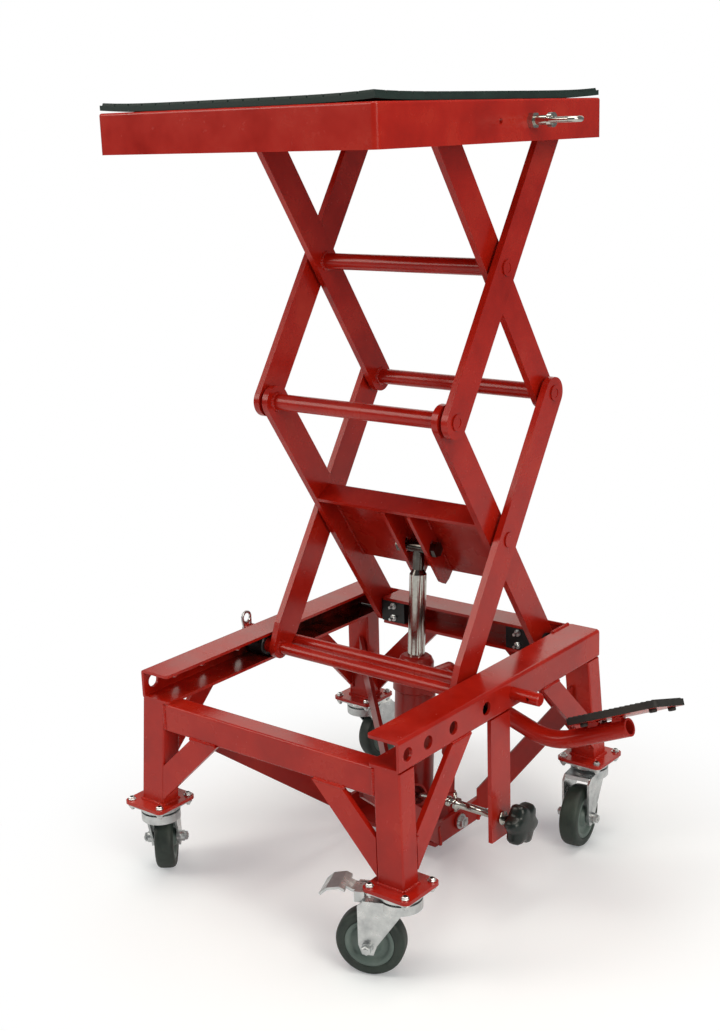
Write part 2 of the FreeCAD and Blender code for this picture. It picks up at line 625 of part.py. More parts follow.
def mat():
    """Moulded mat: square blocks on a sheet whose four corners have curled off the tray."""
    x, y0, y1 = 180.5, TRAY_FRONT + 2.5, TRAY_REAR - 2.5
    middle, top = (y0 + y1) / 2, TRAY_TOP + MAT_SHEET + MAT_BLOCK
    flat = box(-x, x, y0, y1, TRAY_TOP, top)
    flat = flat.makeFillet(5.0, edges_along(flat, V(0, 0, 1)))
    half = MAT_GROOVE / 2
    for i in range(-4, 4):
        at = MAT_PITCH * (i + 0.5)
        flat = flat.cut(box(at - half, at + half, y0 - 1, y1 + 1, top - MAT_BLOCK, top + 1))
        flat = flat.cut(box(-x - 1, x + 1, middle + at - half, middle + at + half,
                            top - MAT_BLOCK, top + 1))
    body = flat
    for sx in (-1, 1):
        for sy, edge in ((-1, y0), (1, y1)):
            a = V(sx * (x - MAT_EAR), edge, TRAY_TOP)
            b = V(sx * x, edge - sy * MAT_EAR, TRAY_TOP)
            tip = V(sx * (x + 1), edge + sy, TRAY_TOP)
            corner = face([a + V(0, sy, 0), b + V(sx, 0, 0), tip])
            corner = corner.extrude(V(0, 0, 12))
            ear = flat.common(corner)
            body = body.cut(corner)
            ear.rotate(a, b - a, MAT_CURL * sx * sy)
            body = body.fuse(ear)
    return clean(body)


save("table_mat", mat())


def tie_eye():
    """Tie-down eye screwed through the table's side: nut, collar, shank and long loop."""
    at = V(TRAY_X, 54.5, 860.5)
    body = rod(5.0, at + V(-9, 0, 0), at + V(28, 0, 0))
    body = body.fuse(hexagon(8.5, TRAY_X, at).extrude(V(6, 0, 0)))
    body = body.fuse(hexagon(8.0, TRAY_X - TRAY_T - 6, at).extrude(V(6, 0, 0)))
    body = body.fuse(rod(7.5, at + V(22, 0, 0), at + V(27, 0, 0)))
    path = [(27, -6.5), (48, -6.5), (48, 6.5), (27, 6.5)]
    r = 3.0
    for side in (-1, 1):
        body = body.fuse(rod(r, at + V(26, 5.5 * side, 0), at + V(49, 8 * side, 0)))
    bend = Part.makeTorus(8.0, r, at + V(49, 0, 0), V(0, 0, 1))
    bend = bend.common(box(TRAY_X + 49, TRAY_X + 70, 30, 80, 840, 880))
    return clean(body.fuse(bend))


save("tie_down_eye", tie_eye())

# ---------------------------------------------------------------- hydraulic jack
JACK_WAY = CLEVIS - JACK_BASE
JACK_LENGTH = JACK_WAY.Length
JACK_TILT = math.degrees(math.atan2(JACK_WAY.y, JACK_WAY.z))


def on_jack(shape):
    """Stand a shape drawn upright about the base pin onto the tilted jack."""
    moved = shape.copy()
    moved.rotate(V(0, 0, 0), V(1, 0, 0), -JACK_TILT)
    moved.translate(JACK_BASE)
    return moved


RAM_R = 10.5
NUT_LOW, NUT_HIGH = 152.0, 197.0
PUMP_X = 54.0
FULCRUM = V(38.0, 0.0, 180.0)         # lever pin, in the jack's own frame
LEVER_R = 10.5
LEVER_BEND, LEVER_END = V(196, 0, 130.5), V(293, 0, 172.0)
VALVE_JOINT = V(112.0, -14.0, 108.0)  # ball where the release rod meets its link
VALVE_WAY = V(92.0, -54.0, 38.0)
VALVE_WAY.normalize()
LINK_AXIS = V(-0.580, -0.603, 0.548)  # cross pin the link swings on as the jack leans
LINK_AXIS.normalize()


def lever_low(x):
    """Underside of the lever's first run, in the jack's frame."""
    slope = (LEVER_BEND.z - FULCRUM.z) / (LEVER_BEND.x - FULCRUM.x)
    return FULCRUM.z + slope * (x - FULCRUM.x) - LEVER_R * math.hypot(1, slope)


def jack_cylinder():
    r = 25.0
    profile = [V(0, 0, -6), V(28, 0, -6), V(33, 0, -1), V(33, 0, 14), V(30, 0, 18), V(r, 0, 20),
               V(r, 0, NUT_LOW), V(r + 2.5, 0, NUT_LOW + 2), V(r + 2.5, 0, NUT_LOW + 22),
               V(r, 0, NUT_LOW + 25), V(r - 3, 0, NUT_LOW + 27), V(r - 3, 0, NUT_HIGH - 8),
               V(r - 6, 0, NUT_HIGH - 2), V(r - 9, 0, NUT_HIGH), V(0, 0, NUT_HIGH)]
    body = face(profile).revolve(V(0, 0, 0), V(0, 0, 1), 360)
    block = box(20, 64, -11, 11, -6, 24)
    block = block.makeFillet(4.0, edges_along(block, V(0, 0, 1), lambda p: p.x > 30))
    body = body.fuse(block)
    body = body.fuse(rod(7.0, V(PUMP_X, 0, 20), V(PUMP_X, 0, 84)))
    body = body.fuse(ring_rod(10.0, 8.2, V(PUMP_X, 0, 83.5), V(PUMP_X, 0, 95)))
    body = body.fuse(Part.makeCone(7.0, 10.0, 7.5, V(PUMP_X, 0, 76), V(0, 0, 1)))
    body = body.fuse(rod(9.0, V(PUMP_X, 0, 20), V(PUMP_X, 0, 34)))
    for side in (-1, 1):
        y0, y1 = sorted((side * 13.5, side * 18.5))
        ear = box(12, FULCRUM.x, y0, y1, FULCRUM.z - 24, FULCRUM.z)
        ear = ear.fuse(rod(11.0, V(FULCRUM.x, y0, FULCRUM.z), V(FULCRUM.x, y1, FULCRUM.z)))
        ear = ear.cut(box(0, 30, -30, 30, NUT_LOW + 25, 220))
        body = body.fuse(ear)
    body = body.fuse(rod(PIN_R, V(FULCRUM.x, -20, FULCRUM.z), V(FULCRUM.x, 20, FULCRUM.z)))
    body = body.fuse(rod(PIN_R, V(-CRADLE_X - 3, 0, 0), V(CRADLE_X + 3, 0, 0)))
    for side in (-1, 1):
        body = body.fuse(rod(10.0, V(side * (CRADLE_X + 0.6), 0, 0), V(side * (CRADLE_X + 3), 0, 0)))
    body = body.cut(rod(RAM_R + 0.08, V(0, 0, 30), V(0, 0, NUT_HIGH + 5)))
    return body.cut(rod(4.06, V(PUMP_X, 0, 30), V(PUMP_X, 0, 90)))


def valve_boss():
    """Hooded release valve on the front of the cylinder, in the table's own frame."""
    far, near = VALVE_JOINT - VALVE_WAY * 127, VALVE_JOINT - VALVE_WAY * 98
    return rod(13.5, far, near)


hood = valve_boss()
hood_bore = rod(11.0, VALVE_JOINT - VALVE_WAY * 113, VALVE_JOINT - VALVE_WAY * 90)
ram_bore = on_jack(rod(RAM_R + 0.08, V(0, 0, 30), V(0, 0, NUT_HIGH + 5)))
save("jack_cylinder", clean(on_jack(jack_cylinder()).fuse(hood).cut(hood_bore).cut(ram_bore)))


def hexagon_x(radius, x, centre_z):
    points = [V(x, radius * math.cos(math.radians(60 * i)),
                centre_z + radius * math.sin(math.radians(60 * i))) for i in range(6)]
    return face(points)


def jack_ram():
    """Chromed ram with a turned neck, flat eye and the cross bolt held in it."""
    top = JACK_LENGTH
    body = rod(RAM_R, V(0, 0, 138), V(0, 0, top - 34))
    neck = Part.makeCone(RAM_R, 7.0, 6.0, V(0, 0, top - 34), V(0, 0, 1))
    body = body.fuse(neck).fuse(rod(7.0, V(0, 0, top - 29), V(0, 0, top - 4)))
    body = body.fuse(rod(8.0, V(-12, 0, top), V(12, 0, top)))
    body = body.fuse(rod(CLEVIS_BOLT_R, V(-25, 0, top), V(25, 0, top)))
    body = body.fuse(hexagon_x(9.5, 22.0, top).extrude(V(7, 0, 0)))
    body = body.fuse(hexagon_x(9.5, -29.0, top).extrude(V(7, 0, 0)))
    return clean(body)


save("jack_ram", on_jack(jack_ram()))


def pump_plunger():
    """Plunger inside its return spring, with a domed head under the lever."""
    high = lever_low(PUMP_X) - 7.4
    low, turns = 95.0, 10
    pitch = (high - low) / turns
    body = rod(4.0, V(PUMP_X, 0, 42), V(PUMP_X, 0, high + 2))
    for i in range(turns):
        z = low + pitch * (i + 0.5)
        body = body.fuse(Part.makeTorus(6.4, 1.3, V(PUMP_X, 0, z), V(0, 0, 1)))
    body = body.fuse(rod(5.4, V(PUMP_X, 0, low), V(PUMP_X, 0, high)))
    body = body.fuse(rod(7.0, V(PUMP_X, 0, high), V(PUMP_X, 0, high + 2.5)))
    return clean(body.fuse(Part.makeSphere(5.0, V(PUMP_X, 0, high + 2.0))))


save("pump_plunger", on_jack(pump_plunger()))


# ---------------------------------------------------------------- foot pedal
def pedal_lever():
    """Bent tube on the lever pin, with a stepped plate and rubber pad on its outer end."""
    def path(offset):
        start, bend, end = FULCRUM + V(4, 0, -1.3), LEVER_BEND, LEVER_END
        d0, d1 = bend - start, end - bend
        d0.normalize()
        d1.normalize()
        cut = 30.0
        a, c = bend - d0 * cut, bend + d1 * cut
        half = d0.getAngle(d1) / 2
        up = d1 - d0
        up.normalize()
        centre = bend + up * (cut / math.sin(half))
        mid = centre - up * (centre - a).Length
        return Part.Wire([Part.makeLine(start, a), Part.Arc(a, mid, c).toShape(),
                          Part.makeLine(c, end)]), start, d0, d1
    wire, start, d0, d1 = path(0)
    ring = Part.Wire(Part.Circle(start, d0, LEVER_R).toShape())
    tube = wire.makePipeShell([ring], True, False)
    end = LEVER_END
    hollow = Part.Wire(Part.Circle(start, d0, LEVER_R - 2.5).toShape())
    tube = tube.cut(wire.makePipeShell([hollow], True, False))
    hub = rod(11.0, FULCRUM + V(0, -12.8, 0), FULCRUM + V(0, 12.8, 0))
    body = tube.fuse(hub)
    normal = V(-d1.z, 0, d1.x)
    low = LEVER_R + 3.0
    plate_a = LEVER_BEND + d1 * 45 + normal * low
    run = 119.0
    pad = face([plate_a, plate_a + d1 * run, plate_a + d1 * run + normal * 7.5,
                plate_a + normal * 7.5]).extrude(V(0, 64, 0))
    pad.translate(V(0, -32, 0))
    pad = pad.makeFillet(6.0, [e for e in pad.Edges if e.Length < 7.6])
    foot_tilt = -12.0
    pad.rotate(LEVER_BEND + normal * low, d1, foot_tilt)
    body = body.fuse(pad)
    for s in (58, 90):
        p = LEVER_BEND + d1 * s
        body = body.fuse(box(p.x - 6, p.x + 6, -5, 5, p.z + 2, p.z + low + 3.5)
                         .cut(rod(LEVER_R - 2.5, end - d1 * 55, end + d1)))
    body = body.cut(rod(PIN_R + PIN_GAP, FULCRUM + V(0, -30, 0), FULCRUM + V(0, 30, 0)))
    return clean(body)


save("pedal_lever", on_jack(pedal_lever()))


# ---------------------------------------------------------------- release valve drive
def lobed_knob(x0, x1, centre_y, centre_z):
    """Six-lobed grip, drawn in slightly towards both faces."""
    body = rod(12.0, V(x0 - 4, centre_y, centre_z), V(x1 - 1, centre_y, centre_z))
    for inset, a, b in ((0.0, x0 + 2.5, x1 - 2.5), (1.6, x0, x1)):
        body = body.fuse(rod(17.0 - inset, V(a, centre_y, centre_z), V(b, centre_y, centre_z)))
        for i in range(6):
            turn = math.radians(60 * i + 20)
            cy, cz = centre_y + 17.5 * math.cos(turn), centre_z + 17.5 * math.sin(turn)
            body = body.fuse(rod(7.8 - inset, V(a, cy, cz), V(b, cy, cz)))
    return clean(body)


def release_rod():
    """Round rod in the hanging bracket, lobed knob outside and a cross pin at the joint."""
    body = rod(4.5, V(VALVE_JOINT.x + 6.5, ROD_Y, ROD_Z), V(RAIL_HALF + 22, ROD_Y, ROD_Z))
    body = body.fuse(rod(7.0, V(VALVE_JOINT.x + 6.5, ROD_Y, ROD_Z),
                         V(VALVE_JOINT.x + 14, ROD_Y, ROD_Z)))
    body = body.fuse(rod(2.0, V(VALVE_JOINT.x + 10, ROD_Y, ROD_Z - 10),
                         V(VALVE_JOINT.x + 10, ROD_Y, ROD_Z + 13)))
    body = body.fuse(rod(8.0, V(RAIL_HALF + 0.5, ROD_Y, ROD_Z), V(RAIL_HALF + 2.5, ROD_Y, ROD_Z)))
    return clean(body.fuse(lobed_knob(RAIL_HALF + 16, RAIL_HALF + 36, ROD_Y, ROD_Z)))


save("release_rod", release_rod())
link = rod(4.0, VALVE_JOINT, VALVE_JOINT - VALVE_WAY * 104)
link = link.fuse(Part.makeSphere(6.0, VALVE_JOINT))
link = link.fuse(rod(1.8, VALVE_JOINT - LINK_AXIS * 7.5, VALVE_JOINT + LINK_AXIS * 7.5))
link = link.fuse(rod(5.5, VALVE_JOINT - VALVE_WAY * 30, VALVE_JOINT - VALVE_WAY * 40))
save("release_link", clean(link))


# ---------------------------------------------------------------- lock bar
LOCK_ENDS = (-217.0, 221.0)
CLIP_X = -208.0


def lock_bar():
    """Round bar parked through both rails behind the slide rollers, cross-drilled at its ends."""
    y, z = PARK_Y, PIVOT_Z
    body = rod(LOCK_BAR_R, V(LOCK_ENDS[0], y, z), V(LOCK_ENDS[1], y, z))
    tips = [e for e in body.Edges if e.Curve.TypeId == "Part::GeomCircle"]
    body = body.makeChamfer(1.2, tips)
    body = body.cut(rod(1.86, V(CLIP_X, y, z - 20), V(CLIP_X, y, z + 20)))
    return body.cut(rod(2.2, V(208, y - 20, z), V(208, y + 20, z)))


def lock_clip():
    """Spring wire clip: a straight leg down through the bar, an eye standing above it."""
    y, z = PARK_Y, PIVOT_Z
    r = 1.8
    leg = rod(r, V(CLIP_X, y, z - 13), V(CLIP_X, y, z + 16))
    eye = Part.makeTorus(7.0, r, V(CLIP_X, y - 7.0, z + 17.5), V(1, 0, 0))
    arm_low = rod(r, V(CLIP_X, y - 14.0, z + 16), V(CLIP_X, y - 10.6, z - 2))
    return clean(leg.fuse(eye).fuse(arm_low))


save("lock_bar", lock_bar())
save("lock_clip", lock_clip())
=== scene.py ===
# %% [markdown]
# # A scissor lift table, dressed for the camera
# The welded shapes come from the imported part, and this lesson gives them paint, weld
# beads, screws, a ribbed mat, wheels and light. It could all be modelled here from
# nothing, but riding on the part's own bodies keeps every hinge and pivot true.

# %% Load the part and remember its box
import bpy
import bmesh
import math
from mathutils import Matrix, Vector


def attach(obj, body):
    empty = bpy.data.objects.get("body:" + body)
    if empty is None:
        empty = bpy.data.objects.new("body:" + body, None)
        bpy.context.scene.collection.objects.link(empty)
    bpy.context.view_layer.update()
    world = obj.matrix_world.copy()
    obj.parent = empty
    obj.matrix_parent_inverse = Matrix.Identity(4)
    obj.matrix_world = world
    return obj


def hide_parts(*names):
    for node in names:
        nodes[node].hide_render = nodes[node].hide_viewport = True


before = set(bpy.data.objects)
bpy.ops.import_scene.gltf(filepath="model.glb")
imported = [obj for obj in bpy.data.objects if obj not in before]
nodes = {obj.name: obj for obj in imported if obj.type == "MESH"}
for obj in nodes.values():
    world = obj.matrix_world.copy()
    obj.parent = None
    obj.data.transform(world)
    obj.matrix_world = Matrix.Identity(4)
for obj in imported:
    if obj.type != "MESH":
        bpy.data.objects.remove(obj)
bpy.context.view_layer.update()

# %% [markdown]
# Lengths below are millimetres measured from the middle of the scissor, as a fitter
# would read them off the table. One helper moves them to the part's own origin, so a
# number here can be compared with a drawing.

# %% Millimetres to the part's frame
CENTRE = Vector((57.525, 12.193, 0.0))


def place(x, y, z):
    return (Vector((x, y, z)) - CENTRE) / 1000


def mm(value):
    return value / 1000


print("floor point under the scissor:", [round(v, 4) for v in place(0, 0, 0)])

# %% [markdown]
# Every finish below is a small graph of nodes. One helper adds a node with its settings
# and wires it, and another turns a paint-card hex into the linear numbers that the
# shader wants. That keeps each material short enough to read as a recipe.

# %% Two helpers for materials
def paint(code, alpha=1.0):
    parts = [int(code[i:i + 2], 16) / 255 for i in (0, 2, 4)]
    line = [p / 12.92 if p <= 0.04045 else ((p + 0.055) / 1.055) ** 2.4 for p in parts]
    return (*line, alpha)


def add(tree, kind, settings=None, **inputs):
    """Add a node; an input is a value, or a socket of another node to link from."""
    made = tree.nodes.new(kind)
    for key, value in (settings or {}).items():
        setattr(made, key, value)
    for key, value in inputs.items():
        name = int(key[1:]) if key[0] == "i" and key[1:].isdigit() else key.replace("_", " ")
        socket = made.inputs[name]
        if isinstance(value, bpy.types.NodeSocket):
            tree.links.new(value, socket)
        else:
            socket.default_value = value
    return made


def ramp(tree, fac, stops):
    made = add(tree, "ShaderNodeValToRGB", Fac=fac)
    band = made.color_ramp
    while len(band.elements) < len(stops):
        band.elements.new(0.5)
    for element, (at, colour) in zip(band.elements, stops):
        element.position = at
        element.color = colour
    return made.outputs["Color"]


def grey(v):
    return (v, v, v, 1)


def surface(title):
    made = bpy.data.materials.new(title)
    made.use_nodes = True
    tree = made.node_tree
    shader = tree.nodes["Principled BSDF"]
    where = add(tree, "ShaderNodeTexCoord").outputs["Object"]
    return made, tree, shader, where


print("enamel red in linear light:", [round(v, 3) for v in paint("a8241d")[:3]])

# %% [markdown]
# The steelwork is sprayed and stoved gloss enamel over mill-finish bar and channel. It
# shows a faint orange peel, runs slightly darker where the coat is thick, carries a
# little dull dust, and has fine rub marks. A plain red with low roughness would look
# like plastic, so colour, gloss and bump each get a pattern at a real size.

# %% Stoved red enamel
def stoved_enamel(title, code, thick, dusty, rough=0.22):
    made, tree, shader, where = surface(title)
    cloud = add(tree, "ShaderNodeTexNoise", Vector=where, Scale=14.0, Detail=4.0,
                Roughness=0.6).outputs["Fac"]
    fine = add(tree, "ShaderNodeTexNoise", Vector=where, Scale=95.0, Detail=3.0,
               Roughness=0.65).outputs["Fac"]
    coat = ramp(tree, cloud, [(0.3, paint(thick)), (0.52, paint(code)), (0.75, paint(dusty))])
    rub = ramp(tree, fine, [(0.66, grey(0.0)), (0.74, grey(1.0))])
    soft = add(tree, "ShaderNodeMath", {"operation": "MULTIPLY"}, i0=rub, i1=0.16)
    mix = add(tree, "ShaderNodeMix", {"data_type": "RGBA"}, Factor=soft.outputs[0],
              i6=coat, i7=paint(dusty))
    tree.links.new(mix.outputs[2], shader.inputs["Base Color"])
    gloss = add(tree, "ShaderNodeMapRange", Value=cloud, i1=0.3, i2=0.75, i3=rough - 0.06,
                i4=rough + 0.12)
    patchy = add(tree, "ShaderNodeMath", {"operation": "ADD"}, i0=gloss.outputs[0],
                 i1=soft.outputs[0])
    tree.links.new(patchy.outputs[0], shader.inputs["Roughness"])
    # orange peel: about 1.6 mm from bump to bump, drawn coarser than life to show
    peel = add(tree, "ShaderNodeTexNoise", Vector=where, Scale=620.0, Detail=1.0)
    bump = add(tree, "ShaderNodeBump", Strength=0.10, Distance=0.0004,
               Height=peel.outputs["Fac"])
    tree.links.new(bump.outputs["Normal"], shader.inputs["Normal"])
    shader.inputs["IOR"].default_value = 1.5
    shader.inputs["Specular IOR Level"].default_value = 0.3
    shader.inputs["Coat Weight"].default_value = 0.08
    shader.inputs["Coat Roughness"].default_value = 0.12
    return made


red = stoved_enamel("stoved red enamel", "a81b0e", "941409", "b22b1a")
# painted shade: a darker copy of the red enamel for the jack, which sits in shade under the
# scissor
shaded_red = stoved_enamel("red enamel darkened as painted shade on the jack", "94170f", "78110c", "9e2417", 0.32)
black_enamel = stoved_enamel("black enamel", "14181a", "0b0e10", "25292b", 0.35)
print("enamels:", red.name, shaded_red.name, black_enamel.name)

# %% [markdown]
# The caster stampings, screws and clips are zinc plated: bright, slightly blue, with a
# cloudy bloom. The ram and rod are hard chrome over ground bar, so their colour is deeper
# and their pattern is squeezed along the bar. Both are full metals, and only colour,
# roughness and the pattern's scale tell them apart.

# %% Zinc plate and hard chrome
def plated(title, code, dull, rough, scale, stretch=(1, 1, 1)):
    made, tree, shader, where = surface(title)
    lay = add(tree, "ShaderNodeMapping", Vector=where, Scale=stretch).outputs[0]
    cloud = add(tree, "ShaderNodeTexNoise", Vector=lay, Scale=scale, Detail=5.0,
                Roughness=0.62).outputs["Fac"]
    tone = ramp(tree, cloud, [(0.32, paint(dull)), (0.68, paint(code))])
    tree.links.new(tone, shader.inputs["Base Color"])
    gloss = add(tree, "ShaderNodeMapRange", Value=cloud, i1=0.3, i2=0.7, i3=rough + 0.14,
                i4=rough - 0.04)
    tree.links.new(gloss.outputs[0], shader.inputs["Roughness"])
    bump = add(tree, "ShaderNodeBump", Strength=0.12, Distance=0.0003, Height=cloud)
    tree.links.new(bump.outputs["Normal"], shader.inputs["Normal"])
    shader.inputs["Metallic"].default_value = 1.0
    return made


zinc = plated("bright zinc plate", "d9dcdc", "b4b8ba", 0.26, 60.0)
chrome = plated("ground hard chrome", "cfcfca", "a7a59d", 0.10, 240.0, (1, 1, 8))
print("plating:", zinc.name, chrome.name)

# %% [markdown]
# The dark mouldings differ mostly in gloss: the mat and the pedal's pad are dull rubber,
# the tyres are greyer and scuffed, the rollers are black nylon, and the knob is hard
# phenolic with a clean shine. The wheel cores are mid grey nylon. One recipe with a
# grain size in millimetres serves them all.

# %% Rubber, phenolic and nylon
def moulded(title, code, worn, rough, grain_mm, depth=0.2, spread=30.0):
    made, tree, shader, where = surface(title)
    cloud = add(tree, "ShaderNodeTexNoise", Vector=where, Scale=spread, Detail=5.0,
                Roughness=0.6).outputs["Fac"]
    tone = ramp(tree, cloud, [(0.38, paint(code)), (0.78, paint(worn))])
    tree.links.new(tone, shader.inputs["Base Color"])
    gloss = add(tree, "ShaderNodeMapRange", Value=cloud, i1=0.3, i2=0.8, i3=rough - 0.05,
                i4=rough + 0.12)
    tree.links.new(gloss.outputs[0], shader.inputs["Roughness"])
    grain = add(tree, "ShaderNodeTexNoise", Vector=where, Scale=1000 / grain_mm, Detail=2.0)
    bump = add(tree, "ShaderNodeBump", Strength=depth, Distance=0.0005,
               Height=grain.outputs["Fac"])
    tree.links.new(bump.outputs["Normal"], shader.inputs["Normal"])
    return made


mat_rubber = moulded("nitrile mat rubber", "0b211e", "17302a", 0.62, 1.5)
tyre_rubber = moulded("scuffed tyre rubber", "15211d", "36433b", 0.5, 1.2)
core_nylon = moulded("grey nylon wheel core", "4f605b", "6d7a75", 0.42, 2.0)
knob_phenolic = moulded("black phenolic", "081412", "13211e", 0.3, 2.5, 0.08)
roller_nylon = moulded("black nylon", "121415", "25292a", 0.4, 2.0, 0.1)
pad_rubber = moulded("pedal rubber", "171716", "302d29", 0.6, 1.4)
print("mouldings:", mat_rubber.name, tyre_rubber.name, core_nylon.name)

# %% [markdown]
# Two patches of painted shade lie only in some places. The inner faces of the channel rails,
# where the slide rollers run, are darkened nearly black as painted shade of the channel's recess.
# The ram is chromed where it slides, and its neck and eye are darkened as painted shade where
# the clevis ears shade them. Limits on the Object position pick those faces out, which needs no
# second piece and no painted map.

# %% Painted shade that lies only in some places
RAIL, TOP, LOW, SHEET, SKIN = 185.0, 266.0, 231.0, 3.5, 0.1
NECK_Z = 336.0


def mix_in_painted_shade(made, shade_code, least, most, *limits):
    """Mix painted shade into a finish, inside limits of (axis, none of it here, all of it here).
    """
    tree = made.node_tree
    shader = tree.nodes["Principled BSDF"]
    where = add(tree, "ShaderNodeTexCoord").outputs["Object"]
    middle = add(tree, "ShaderNodeVectorMath", {"operation": "SUBTRACT"}, i0=where,
                 i1=place(0, 0, 0))
    spot = add(tree, "ShaderNodeSeparateXYZ", Vector=middle.outputs[0]).outputs
    apart = add(tree, "ShaderNodeMath", {"operation": "ABSOLUTE"}, i0=spot["X"])
    along = {"X": apart.outputs[0], "Y": spot["Y"], "Z": spot["Z"]}
    blotch = add(tree, "ShaderNodeTexNoise", Vector=where, Scale=40.0, Detail=3.0)
    share = add(tree, "ShaderNodeMapRange", Value=blotch.outputs["Fac"], i1=0.35, i2=0.65,
                i3=least, i4=most).outputs[0]
    for axis, none, full in limits:
        within = add(tree, "ShaderNodeMapRange", Value=along[axis], i1=mm(none), i2=mm(full),
                     i3=0.0, i4=1.0)
        share = add(tree, "ShaderNodeMath", {"operation": "MULTIPLY"}, i0=share,
                    i1=within.outputs[0]).outputs[0]
    unshaded = shader.inputs["Base Color"].links[0].from_socket
    mix = add(tree, "ShaderNodeMix", {"data_type": "RGBA"}, Factor=share, i6=unshaded,
              i7=paint(shade_code))
    tree.links.new(mix.outputs[2], shader.inputs["Base Color"])
    return made


# painted shade: the rail channels' inner faces darkened nearly black inside the channel's recess
red_with_painted_channel_shade = mix_in_painted_shade(stoved_enamel("red channel with painted shade", "a81b0e", "941409", "b22b1a"),
                      "140f0c", 0.6, 0.96, ("X", RAIL - SHEET + 2 * SKIN, RAIL - SHEET + SKIN),
                      ("Y", -115.0, -45.0), ("Z", LOW + SHEET - 2 * SKIN, LOW + SHEET - SKIN),
                      ("Z", TOP - SHEET + 2 * SKIN, TOP - SHEET + SKIN))
# painted shade: the ram's neck and eye darkened where the clevis ears shade them
chrome_with_painted_neck_shade = mix_in_painted_shade(plated("chrome with painted shade on neck", "cfcfca", "a7a59d", 0.10, 240.0,
                              (1, 1, 8)),
                       "2a201c", 0.75, 0.95, ("Z", NECK_Z - SKIN, NECK_Z))
print("stained finishes:", red_with_painted_channel_shade.name, chrome_with_painted_neck_shade.name)

# %% [markdown]
# The part's own pieces keep their exact shapes and shading, and only change their finish.
# They could be rebuilt here, but the part's shapes are already true. A piece's name says
# which material it takes, and what no line names is red enamel.

# %% Give each carried-over piece its finish
def finish_for(name):
    if name.startswith(("caster_head", "caster_fork")) or name in ("brake_pedal", "lock_clip"):
        return zinc
    if name.startswith("caster_wheel"):
        return tyre_rubber
    if name.startswith("hinge_bracket"):
        return black_enamel
    if name.startswith("slide_roller"):
        return roller_nylon
    if name in ("release_link", "tie_down_eye", "release_rod"):
        return chrome
    if name == "jack_ram":
        return chrome_with_painted_neck_shade
    if name in ("left_rail", "right_rail"):
        return red_with_painted_channel_shade
    # the jack takes the darker red, which is painted shade
    if name in ("jack_cylinder", "jack_cradle"):
        return shaded_red
    return {"table_mat": mat_rubber, "pump_plunger": zinc}.get(name, red)


for name, piece in nodes.items():
    piece.data.materials.clear()
    piece.data.materials.append(finish_for(name))
print("finished pieces:", len(nodes))

# %% [markdown]
# Meshes made here need a few plain moves: turn a profile round an axle, sweep a round
# wire, and hand the result to a body. Each ends as a plain mesh whose place is already
# in its points, because the part's bodies carry it from there.

# %% Helpers that make plain meshes
SHOP = bpy.data.collections.new("dressing")
bpy.context.scene.collection.children.link(SHOP)


def piece_from(title, form, material, body, stands_for=(), smooth=True):
    mesh = bpy.data.meshes.new(title)
    bmesh.ops.recalc_face_normals(form, faces=form.faces)
    form.to_mesh(mesh)
    form.free()
    return settle(title, mesh, material, body, stands_for, smooth)


def settle(title, mesh, material, body, stands_for=(), smooth=True):
    made = bpy.data.objects.new(title, mesh)
    SHOP.objects.link(made)
    if material is not None:
        mesh.materials.clear()
        mesh.materials.append(material)
    for polygon in mesh.polygons:
        polygon.use_smooth = smooth
    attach(made, body)
    if stands_for:
        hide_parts(*stands_for)
    return made


def lathe(form, profile, origin, axle, steps=64, lobes=None, hoop=False):
    """Turn (radius, along) points in millimetres round an axle through origin.

    A hoop joins its last ring to its first; anything else is closed by a disc at each end.
    """
    axle = Vector(axle).normalized()
    side = axle.orthogonal().normalized()
    other = axle.cross(side)
    rings = []
    for radius, along in profile:
        ring = []
        for i in range(steps):
            a = 2 * math.pi * i / steps
            r = radius * (lobes(a, radius) if lobes else 1.0)
            spot = origin + (axle * along + (side * math.cos(a) + other * math.sin(a)) * r)
            ring.append(form.verts.new(place(*spot)))
        rings.append(ring)
    for low, high in zip(rings, rings[1:] + (rings[:1] if hoop else [])):
        for i in range(steps):
            j = (i + 1) % steps
            form.faces.new((low[i], low[j], high[j], high[i]))
    for ring in (() if hoop else (rings[0], rings[-1])):
        form.faces.new(ring)
    return rings


def wire(form, points, radius, sides=12, closed=False):
    """Round wire along points in millimetres, with mitred joints."""
    spots = [Vector(p) for p in points]
    count = len(spots)
    rings = []
    side = None
    for i, spot in enumerate(spots):
        before = spots[i - 1] if (closed or i) else spots[i]
        after = spots[(i + 1) % count] if (closed or i < count - 1) else spots[i]
        way = (after - before).normalized()
        side = way.orthogonal() if side is None else side - way * side.dot(way)
        side.normalize()
        other = way.cross(side)
        rings.append([form.verts.new(place(*(spot + (side * math.cos(a) + other * math.sin(a))
                                             * radius)))
                      for a in (2 * math.pi * k / sides for k in range(sides))])
    pairs = list(zip(rings, rings[1:])) + ([(rings[-1], rings[0])] if closed else [])
    for low, high in pairs:
        for i in range(sides):
            j = (i + 1) % sides
            form.faces.new((low[i], low[j], high[j], high[i]))
    if not closed:
        form.faces.new(rings[0])
        form.faces.new(rings[-1])


print("helpers ready")

# %% [markdown]
# Screws, ribs, weld ripples and coils all repeat one small form. Geometry Nodes make
# them: a tree with named sizes grows the copies on simple guide points or lines, then
# realises them into one plain mesh. Copying by hand would bury the sizes in loops.

